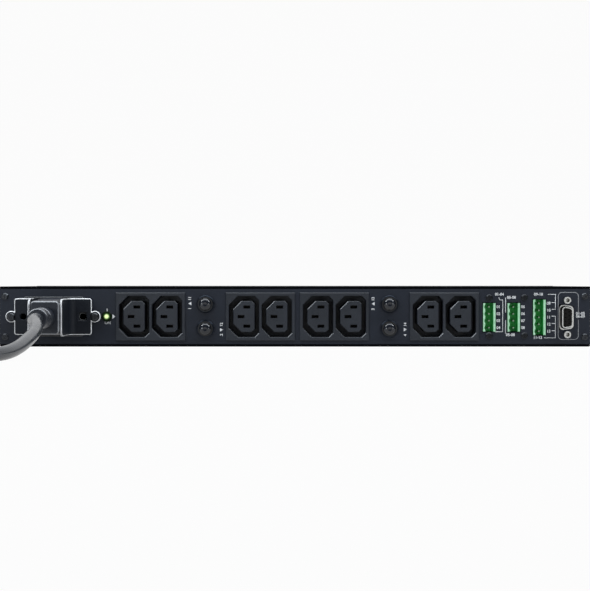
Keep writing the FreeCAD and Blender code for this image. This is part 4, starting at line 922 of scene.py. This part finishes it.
@dataclass
class Terminals:
    """The green terminal headers and the data socket."""

    shell_edge: float = 0.12 * MM
    proud: float = 0.2 * MM
    thread_bore: float = 1.5 * MM
    thread_ridge: float = 0.18 * MM
    thread_pitch: float = 0.7 * MM
    thread_turns: int = 5
    bore_steps: int = 20
    ridge_steps: int = 6
    deep: Colour = (0.02, 0.46, 0.08)
    # Pale green for the headers' front rims: a painted highlight.
    pale: Colour = (0.52, 0.82, 0.59)
    nickel: Finish = PlatedMetal("shell_nickel", (0.62, 0.62, 0.6), roughness=0.28)
    # Near black on the shell's walls: painted shade.
    stain_and_shade: Finish = PlatedMetal("data_shell_painted_shade", (0.012, 0.012, 0.013), roughness=0.5)
    olive: Finish = PlatedMetal("thread_olive", (0.13, 0.13, 0.08), roughness=0.45)
    # Tin, tinted green as a painted reflection of the headers around the pins.
    tin_and_green_reflection: Finish = PlatedMetal("pin_tin_green_reflection", (0.3, 0.42, 0.3), roughness=0.5)
    insert: Finish = MouldedPlastic("insert_moulding", (0.008, 0.0072, 0.0065), gloss=0.1)
    # Near black on the data socket's contacts: painted shade in their holes.
    bore: Finish = PlatedMetal("contact_painted_shade", (0.004, 0.0038, 0.0035), roughness=0.5)

    def build(self) -> None:
        """Eases the shell's edges, nickel only on the faces to the front and painted shade on the
        rest, and threads the jackscrews' bores.
        """
        nickel = self.nickel.material()
        paint(nickel, "data_jackscrews")
        mesh = eased_mesh("data_socket_shell", self.shell_edge)
        panel_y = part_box("rear_panel")[0].y
        front_y = panel_y - self.proud
        # Faces to the front get the nickel, the rest the painted shade.
        choose_faces(mesh, lambda face: faces_out(face) and face.center.y < front_y)
        shell = piece_from("data_socket_shell_eased", mesh, self.stain_and_shade.material(), nickel)
        settle(shell, stands_for=("data_socket_shell",))
        threads = piece_from("jackscrew_threads", self.threads())
        settle(threads)

    def threads(self) -> Mesh:
        """Makes the thread rings in the jackscrews' bores.

        Returns:
            The mesh, with its finish.
        """
        low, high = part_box("data_jackscrews")
        middle_x = (low.x + high.x) / 2
        reach = (high.x - low.x) / 2
        points = [(middle_x, low.y + self.thread_pitch, z) for z in (low.z + reach, high.z - reach)]
        mesh = bpy.data.meshes.new("jackscrew_places")
        mesh.from_pydata(points, [], [])
        tree = GeometryTree("thread_rings")
        bore, ridge, turns, pitch, finish = tree.sizes(
            Bore=self.thread_bore, Ridge=self.thread_ridge, Turns=self.thread_turns,
            Pitch=(0.0, self.thread_pitch, 0.0), Finish=self.olive.material(),
        )
        ring = tree.add("CurvePrimitiveCircle", Resolution=self.bore_steps, Radius=bore)
        section = tree.add("CurvePrimitiveCircle", Resolution=self.ridge_steps, Radius=ridge)
        swept = tree.add("CurveToMesh", Curve=ring, Profile_Curve=section)
        turned = tree.add("Transform", Geometry=swept, Rotation=(math.pi / 2, 0.0, 0.0))
        stack = tree.add("MeshLine", Count=turns, Offset=pitch)
        column = tree.add("InstanceOnPoints", Points=stack, Instance=turned)
        both = tree.add("InstanceOnPoints", Points=tree.source, Instance=column)
        return tree.apply(both, finish, mesh)

    def dress(self) -> None:
        """Gives the headers, the pins and the insert their finishes, with a painted highlight on
        the headers' front rims.
        """
        rim_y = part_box("terminal_header_1")[0].y
        green = EdgeLitPlastic("header_green", self.deep, self.pale, rim_y)
        green.cover("terminal_header_1", "terminal_header_2", "terminal_header_3")
        self.insert.cover("data_socket_insert")
        self.bore.cover("data_socket_contacts")
        self.tin_and_green_reflection.cover("header_pins")


@dataclass
class Inside:
    """What stands on the boards inside the casing: each finish with its nodes."""

    coats: tuple[tuple[Finish, tuple[str, ...]], ...] = (
        (BoardResist("board_resist", (0.012, 0.07, 0.03)), ("control_board", "power_board")),
        (MouldedPlastic("relay_moulding", (0.02, 0.02, 0.023)), ("relays",)),
        (Winding("choke_wire", (0.5, 0.18, 0.06)), ("filter_choke",)),
        (MouldedPlastic("capacitor_moulding", (0.5, 0.36, 0.05), 0.3), ("filter_capacitors",)),
        (MouldedPlastic("varistor_epoxy", (0.02, 0.07, 0.28), 0.25, coat=0.3), ("varistors",)),
        (
            Winding("core_laminations", (0.22, 0.22, 0.23), 0.5 * MM, Axis.INWARD),
            ("supply_transformer",),
        ),
        (MouldedPlastic("terminal_moulding", (0.03, 0.2, 0.07)), ("board_terminals",)),
        (CordSheath("lead_sheath", (0.1, 0.045, 0.02)), ("inlet_leads", "breaker_leads")),
    )

    def dress(self) -> None:
        """Gives each board and component its finish."""
        for finish, nodes in self.coats:
            finish.cover(*nodes)


@dataclass
class PrintedMarks:
    """White lines, triangles and plain numbers on the rear panel, in millimetres from its middle.

    A triangle has its middle, height and turn, a number its text, middle and turn, and a column its
    place across and its count.
    """

    line_width: float = 0.5
    thickness: float = 0.05
    number_height: float = 2.0
    font_factor: float = 1.4
    boldness: float = 0.09
    outline_steps: int = 4
    lines: Lines = (
        ((148.9, 13.9), (149.6, 12.1), (151.8, 12.1), (151.8, -11.1), (146.6, -11.1)),
        ((153.9, 13.9), (153.9, 2.9)),
        ((153.9, -2.6), (153.9, -12.4)),
        ((184.8, 16.2), (190.3, 16.2), (190.3, 5.2), (187.6, 5.2)),
        ((187.6, 10.2), (190.3, 10.2)),
        ((187.6, 0.2), (190.3, 0.2), (190.3, -15.6), (182.0, -15.6)),
        ((187.6, -5.1), (190.3, -5.1)),
        ((187.6, -10.4), (190.3, -10.4)),
    )
    frame_box: tuple[float, float, float, float] = (192.4, -16.8, 207.1, 17.6)
    frame_radius: float = 2.8
    frame_gap: Point = (-2.4, 3.4)
    triangle_reach: float = 2.2
    triangles: tuple[tuple[float, float, float, Turn], ...] = (
        (-132.4, 0.0, 3.5, Turn.RIGHT),
        (-76.8, 9.5, 2.6, Turn.LEFT),
        (-53.7, -9.7, 2.6, Turn.RIGHT),
        (57.1, 9.3, 2.6, Turn.LEFT),
        (80.6, -9.5, 2.6, Turn.RIGHT),
    )
    numbers: tuple[tuple[str, float, float, float], ...] = (
        ("1", -76.8, 5.8, 90.0), ("11", -76.8, 13.2, 90.0),
        ("2", -53.7, -13.3, 90.0), ("12", -53.7, -5.9, 90.0),
        ("3", 57.1, 5.4, 90.0), ("13", 57.1, 12.9, 90.0),
        ("4", 80.6, -13.6, 90.0), ("14", 80.6, -5.8, 90.0),
        ("1", -137.3, 4.7, 0.0), ("ON", -136.9, -4.6, 0.0),
        ("01-04", 149.4, 16.2, 0.0),
        ("05-08", 158.2, 13.9, 0.0), ("05-08", 157.4, -13.4, 0.0),
        ("09-10", 177.9, 16.2, 0.0), ("11-13", 177.4, -15.4, 0.0),
        ("01-05", 208.6, 2.2, 0.0), ("06-09", 208.6, 0.0, 0.0),
    )
    columns: tuple[tuple[float, int], ...] = ((148.6, 4), (166.6, 4), (185.4, 5))
    column_pitch: float = 5.08
    column_drop: float = 0.6
    ink: Finish = PrintInk("panel_ink", (0.85, 0.86, 0.87))
    faded: Finish = PrintInk("panel_ink_faded", (0.34, 0.345, 0.36))

    def build(self) -> None:
        """Prints the marks on the panel's outer face, with the frame in faded ink."""
        low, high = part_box("rear_panel")
        upright = Matrix.Rotation(math.pi / 2, 4, "X")
        seat = Matrix.Translation((0.0, low.y, (low.z + high.z) / 2)) @ upright
        ink, faded = self.ink.material(), self.faded.material()
        border = self.strips(faded, (self.border(),))
        choose_faces(border, lambda face: True)
        meshes = [self.strips(ink, self.lines), border, self.arrows()]
        meshes += [self.number(*item) for item in self.all_numbers()]
        work = bmesh.new()
        for mesh in meshes:
            work.from_mesh(mesh)
        bmesh.ops.transform(work, matrix=seat, verts=work.verts)
        marks = piece_from("printed_marks", mesh_from(work, "printed_marks"), ink, faded)
        settle(marks)

    def all_numbers(self) -> list[tuple[str, float, float, float]]:
        """Lists the numbers, with those beside the terminals running on from header to header.

        Returns:
            The text, the middle and the turn of each.
        """
        found = list(self.numbers)
        last = 0
        for x, count in self.columns:
            last += count
            for step in range(count):
                y = (step - (count - 1) / 2) * self.column_pitch - self.column_drop
                found.append((f"{last - step:02d}", x, y, 0.0))
        return found

    def border(self) -> tuple[Point, ...]:
        """Gives the route of the frame round the data socket, open at its right.

        Returns:
            Its corners.
        """
        left, low, right, high = self.frame_box
        radius = self.frame_radius
        inner_left, inner_right = left + radius, right - radius
        upper = (inner_right, high - radius), (inner_left, high - radius)
        lower = (inner_left, low + radius), (inner_right, low + radius)
        route = [(right, self.frame_gap[1])]
        for quarter, (x, y) in enumerate(upper + lower):
            route += round_corner(x, y, radius, 90.0 * quarter)
        return (*route, (right, self.frame_gap[0]))

    def strips(self, ink: Material, lines: Lines) -> Mesh:
        """Prints lines.

        Args:
            ink: Their finish.
            lines: Their routes, in millimetres from the panel's middle.

        Returns:
            Flat strips on the XY plane.
        """
        tree = GeometryTree("printed_lines")
        width, thickness, finish = tree.sizes(
            Line_Width=self.line_width * MM, Ink_Thickness=self.thickness * MM, Ink=ink,
        )
        path = tree.add("MeshToCurve", Mesh=tree.source)
        upright = tree.add("SetCurveNormal", mode="Z_UP", Curve=path)
        section = tree.add("CurvePrimitiveQuadrilateral", Width=width, Height=thickness)
        strip = tree.add("CurveToMesh", Curve=upright, Profile_Curve=section, Fill_Caps=True)
        return tree.apply(strip, finish, line_mesh("print_routes", lines))

    def arrows(self) -> Mesh:
        """Prints the triangles.

        Returns:
            Thin prisms on the XY plane.
        """
        work = bmesh.new()
        half = self.thickness * MM / 2
        front = self.triangle_reach / 2
        for x, y, height, turn in self.triangles:
            corners = [(-front, -height / 2), (front, 0.0), (-front, height / 2)]
            spin = Matrix.Rotation(math.radians(turn.value), 2)
            flat = [Vector((x, y)) + spin @ Vector(corner) for corner in corners]
            base, top = (
                [work.verts.new((point.x * MM, point.y * MM, z)) for point in flat]
                for z in (-half, half)
            )
            work.faces.new(top)
            work.faces.new(base[::-1])
            for step in range(3):
                after = (step + 1) % 3
                work.faces.new([base[step], base[after], top[after], top[step]])
        return mesh_from(work, "printed_triangles")

    def number(self, text: str, x: float, y: float, turn: float) -> Mesh:
        """Prints a plain number on the XY plane.

        Args:
            text: The number.
            x: Its middle, in millimetres.
            y: Its middle, in millimetres.
            turn: Its turn in degrees.

        Returns:
            The mesh.
        """
        curve = bpy.data.curves.new("number", "FONT")
        curve.body = text
        curve.align_x = "CENTER"
        curve.align_y = "CENTER"
        curve.size = self.number_height * MM * self.font_factor
        curve.extrude = self.thickness * MM / 2
        curve.offset = self.boldness * MM
        curve.resolution_u = self.outline_steps
        mesh = evaluated_mesh(piece_from("number_work", curve))
        turned = Matrix.Rotation(math.radians(turn), 4, "Z")
        mesh.transform(Matrix.Translation((x * MM, y * MM, 0.0)) @ turned)
        return mesh


@dataclass
class MainsCord:
    """The mains cord: out of its strain relief, down to the floor, into a tied coil, to its plug.

    Points of the route and of the tail go right and away, in millimetres, and by a share in height.
    """

    diameter: float = 8.5 * MM
    length: float = 1.84
    route: tuple[Place, ...] = (
        (0.0, 0.0, 1.0), (0.0, 16.3, 1.0), (5.2, 32.5, 0.89), (8.8, 48.7, 0.739),
        (10.4, 67.2, 0.555), (10.1, 86.8, 0.371), (8.8, 105.5, 0.179), (5.4, 123.6, 0.036),
        (-3.2, 142.1, 0.0), (-14.1, 155.3, 0.0), (-38.8, 170.0, 0.01), (-60.3, 172.5, 0.03),
        (-82.3, 172.5, 0.045),
    )
    tail: tuple[Place, ...] = (
        (0.0, 0.0, 0.0), (-0.4, 16.0, 0.12), (0.0, 33.0, 1.0), (0.0, 50.0, 1.0),
    )
    layer_turns: float = 2.625
    points_per_turn: int = 16
    climb: float = 90.0
    section_steps: int = 6
    path_steps: int = 8
    sheath: Finish = CordSheath("cord_sheath", (0.026, 0.03, 0.037), roughness=0.25)
    vinyl: Finish = MouldedPlastic("plug_vinyl", (0.03, 0.032, 0.036), roughness=0.4)
    strap: Finish = MouldedPlastic("tie_nylon", (0.02, 0.02, 0.023), roughness=0.35)

    def build(self) -> None:
        """Lays the cord and dresses what is on it."""
        low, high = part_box("cord_strain_relief")
        leave = Vector(((low.x + high.x) / 2, low.y, (low.z + high.z) / 2))
        floor_z = self.diameter / 2
        drop = leave.z - floor_z
        points = [
            Vector((leave.x + right * MM, leave.y - away * MM, floor_z + share * drop))
            for right, away, share in self.route
        ]
        points += self.coil_points(points[-1])
        start = points.pop()
        plug_low, plug_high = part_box("mains_plug")
        rise = (plug_low.z + plug_high.z) / 2 - start.z
        for right, away, share in self.tail:
            points.append(start + Vector((right * MM, away * MM, share * rise)))
        cord = piece_from("mains_cord", self.curve(points), self.sheath.material())
        settle(cord, stands_for=("power_cord", "cord_coil", "cord_tail"))
        self.vinyl.cover("mains_plug")
        self.strap.cover("coil_tie")

    def curve(self, points: list[Vector]) -> bpy.types.Curve:
        """Runs one round, smooth curve along control points.

        Args:
            points: The control points.

        Returns:
            The curve.
        """
        curve = bpy.data.curves.new("mains_cord", "CURVE")
        curve.dimensions = "3D"
        curve.bevel_depth = self.diameter / 2
        curve.bevel_resolution = self.section_steps
        curve.resolution_u = self.path_steps
        curve.use_fill_caps = True
        spline = curve.splines.new("NURBS")
        spline.points.add(len(points) - 1)
        for control, point in zip(spline.points, points):
            control.co = (*point, 1.0)
        spline.order_u = 3
        spline.use_endpoint_u = True
        spline.use_smooth = True
        return curve

    def coil_points(self, entry: Vector) -> list[Vector]:
        """Winds the coil: inwards on the floor, up at its inside and outwards on top.

        Args:
            entry: The coil's front-most point, where the cord comes in heading to the left.

        Returns:
            The control points after the entry, up to the left-most point on top.
        """
        low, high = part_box("cord_coil")
        centre = (low + high) / 2
        outer = (high.x - low.x) / 2 - self.diameter / 2
        total = 2 * self.layer_turns * FULL_TURN
        step = FULL_TURN / self.points_per_turn
        count = round(total / step)
        # A curve of order 3 runs inside its control points, so they are pushed out.
        push = 1.0 / (0.75 + 0.25 * math.cos(math.radians(step)))
        points = []
        for index in range(1, count + 1):
            angle = index * step
            nearer = min(angle, total - angle)
            radius = outer - self.diameter * nearer / FULL_TURN
            if index < count:
                radius *= push
            climbed = min(1.0, max(0.0, (angle - total / 2) / self.climb + 0.5))
            smooth = climbed * climbed * (3.0 - 2.0 * climbed)
            turn = math.radians(-90.0 - angle)
            points.append(Vector((
                centre.x + radius * math.cos(turn),
                centre.y + radius * math.sin(turn),
                entry.z + smooth * self.diameter,
            )))
        return points


@dataclass(frozen=True)
class Softbox:
    """A soft light: its place, its size in metres, its power in watts and what it points at."""

    name: str
    place: Place
    width: float
    height: float
    power: float
    aim: Place = (0.0, -0.12, 0.02)
    daylight: Colour = (0.92, 0.965, 1.0)

    def hang(self) -> None:
        """Hangs the light."""
        lamp = bpy.data.lights.new(self.name, "AREA")
        lamp.shape = "RECTANGLE"
        lamp.size = self.width
        lamp.size_y = self.height
        lamp.energy = self.power
        lamp.color = self.daylight
        item = piece_from(self.name, lamp)
        item.location = self.place
        way = Vector(self.aim) - Vector(self.place)
        item.rotation_euler = way.to_track_quat("-Z", "Y").to_euler()


@dataclass
class Studio:
    """A pale sweep, five soft lights in a dim room and a camera square to the rear panel."""

    focal_pixels: float = 1368.6
    image_width: float = 590.0
    sensor_width: float = 36.0
    clip_start: float = 0.01
    distance: float = 1.0
    eye: Place = (0.02 * MM, 0.0, 46.0 * MM)
    drop_pixels: float = 11.8
    sweep_front: float = -9.0
    sweep_bend: float = 1.2
    sweep_radius: float = 0.8
    sweep_top: float = 4.0
    sweep_side: float = 9.0
    sweep_steps: int = 12
    paper: Colour = (0.2, 0.2, 0.2)
    floor_glow: float = 0.965
    room: Colour = (0.42, 0.43, 0.45)
    room_strength: float = 0.25
    softboxes: tuple[Softbox, ...] = (
        Softbox("overhead", (0.0, -0.35, 1.3), 1.6, 1.0, 22.0, (0.0, -0.05, 0.0)),
        Softbox("left_high", (-0.95, -0.5, 0.95), 0.36, 0.36, 7.5),
        Softbox("left_low", (-0.8, -1.2, 0.12), 0.5, 0.3, 3.6),
        Softbox("right_high", (0.95, -0.5, 0.95), 0.36, 0.36, 7.5),
        Softbox("right_low", (0.8, -1.2, 0.12), 0.5, 0.3, 1.8),
    )

    def build(self) -> None:
        """Sets up the sweep, the lights, the world and the camera."""
        self.sweep()
        for softbox in self.softboxes:
            softbox.hang()
        self.world()
        self.camera()
        bpy.context.scene.view_settings.view_transform = "Standard"

    def sweep(self) -> None:
        """Makes the floor and the backdrop as one curved sheet."""
        bend, radius = self.sweep_bend, self.sweep_radius
        profile = [(self.sweep_front, 0.0), (bend, 0.0)]
        for step in range(1, self.sweep_steps + 1):
            turn = math.radians(90.0 * step / self.sweep_steps)
            profile.append((bend + radius * math.sin(turn), radius - radius * math.cos(turn)))
        profile.append((bend + radius, self.sweep_top))
        corners = [(side * self.sweep_side, y, z) for y, z in profile for side in (-1.0, 1.0)]
        faces = [(2 * i, 2 * i + 1, 2 * i + 3, 2 * i + 2) for i in range(len(profile) - 1)]
        mesh = bpy.data.meshes.new("sweep")
        mesh.from_pydata(corners, [], faces)
        shader = Shader("sweep_paper")
        self.whiten(shader)
        piece_from("sweep", mesh, shader.material)

    def whiten(self, shader: Shader) -> None:
        """Makes paper white to the camera, while it still takes shadows.

        Args:
            shader: The paper's shader.
        """
        shader.paint(Base_Color=self.paper, Roughness=0.9, Specular_IOR_Level=0.1)
        rays = shader.add("LightPath").outputs
        seen = rays["Is Camera Ray"]
        for name in ("Is Glossy Ray", "Is Transmission Ray"):
            seen = shader.compute("MAXIMUM", seen, rays[name])
        share = shader.compute("MULTIPLY", seen, self.floor_glow)
        mixed = shader.add("MixShader", share, shader.surface, shader.add("Emission"))
        feed(shader.tree.nodes["Material Output"].inputs["Surface"], mixed)

    def world(self) -> None:
        """Makes the dim room around the studio."""
        world = bpy.data.worlds.new("studio_room")
        world.use_nodes = True
        background = world.node_tree.nodes["Background"]
        feed(background.inputs["Color"], self.room)
        feed(background.inputs["Strength"], self.room_strength)
        bpy.context.scene.world = world

    def camera(self) -> None:
        """Puts the camera square to the rear panel, a little above it."""
        lens = bpy.data.cameras.new("camera")
        lens.sensor_fit = "HORIZONTAL"
        lens.sensor_width = self.sensor_width
        lens.lens = self.focal_pixels / self.image_width * self.sensor_width
        lens.clip_start = self.clip_start
        item = piece_from("camera", lens)
        rear_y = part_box("rear_panel")[0].y
        item.location = Vector(self.eye) + Vector((0.0, rear_y - self.distance, 0.0))
        tilt = math.atan(self.drop_pixels / self.focal_pixels)
        item.rotation_euler = (math.pi / 2 - tilt, 0.0, 0.0)
        bpy.context.scene.camera = item


def main() -> None:
    """Builds every part of the scene in order."""
    logging.basicConfig(level=logging.INFO, format="%(message)s")
    Studio().build()
    MainsCord().build()
    Casing().dress()
    Inlet().build()
    for part in (Breakers(), Terminals()):
        part.build()
        part.dress()
    Outlets().dress()
    Lamp().dress()
    Inside().dress()
    PrintedMarks().build()


if __name__ == "__main__":
    main()
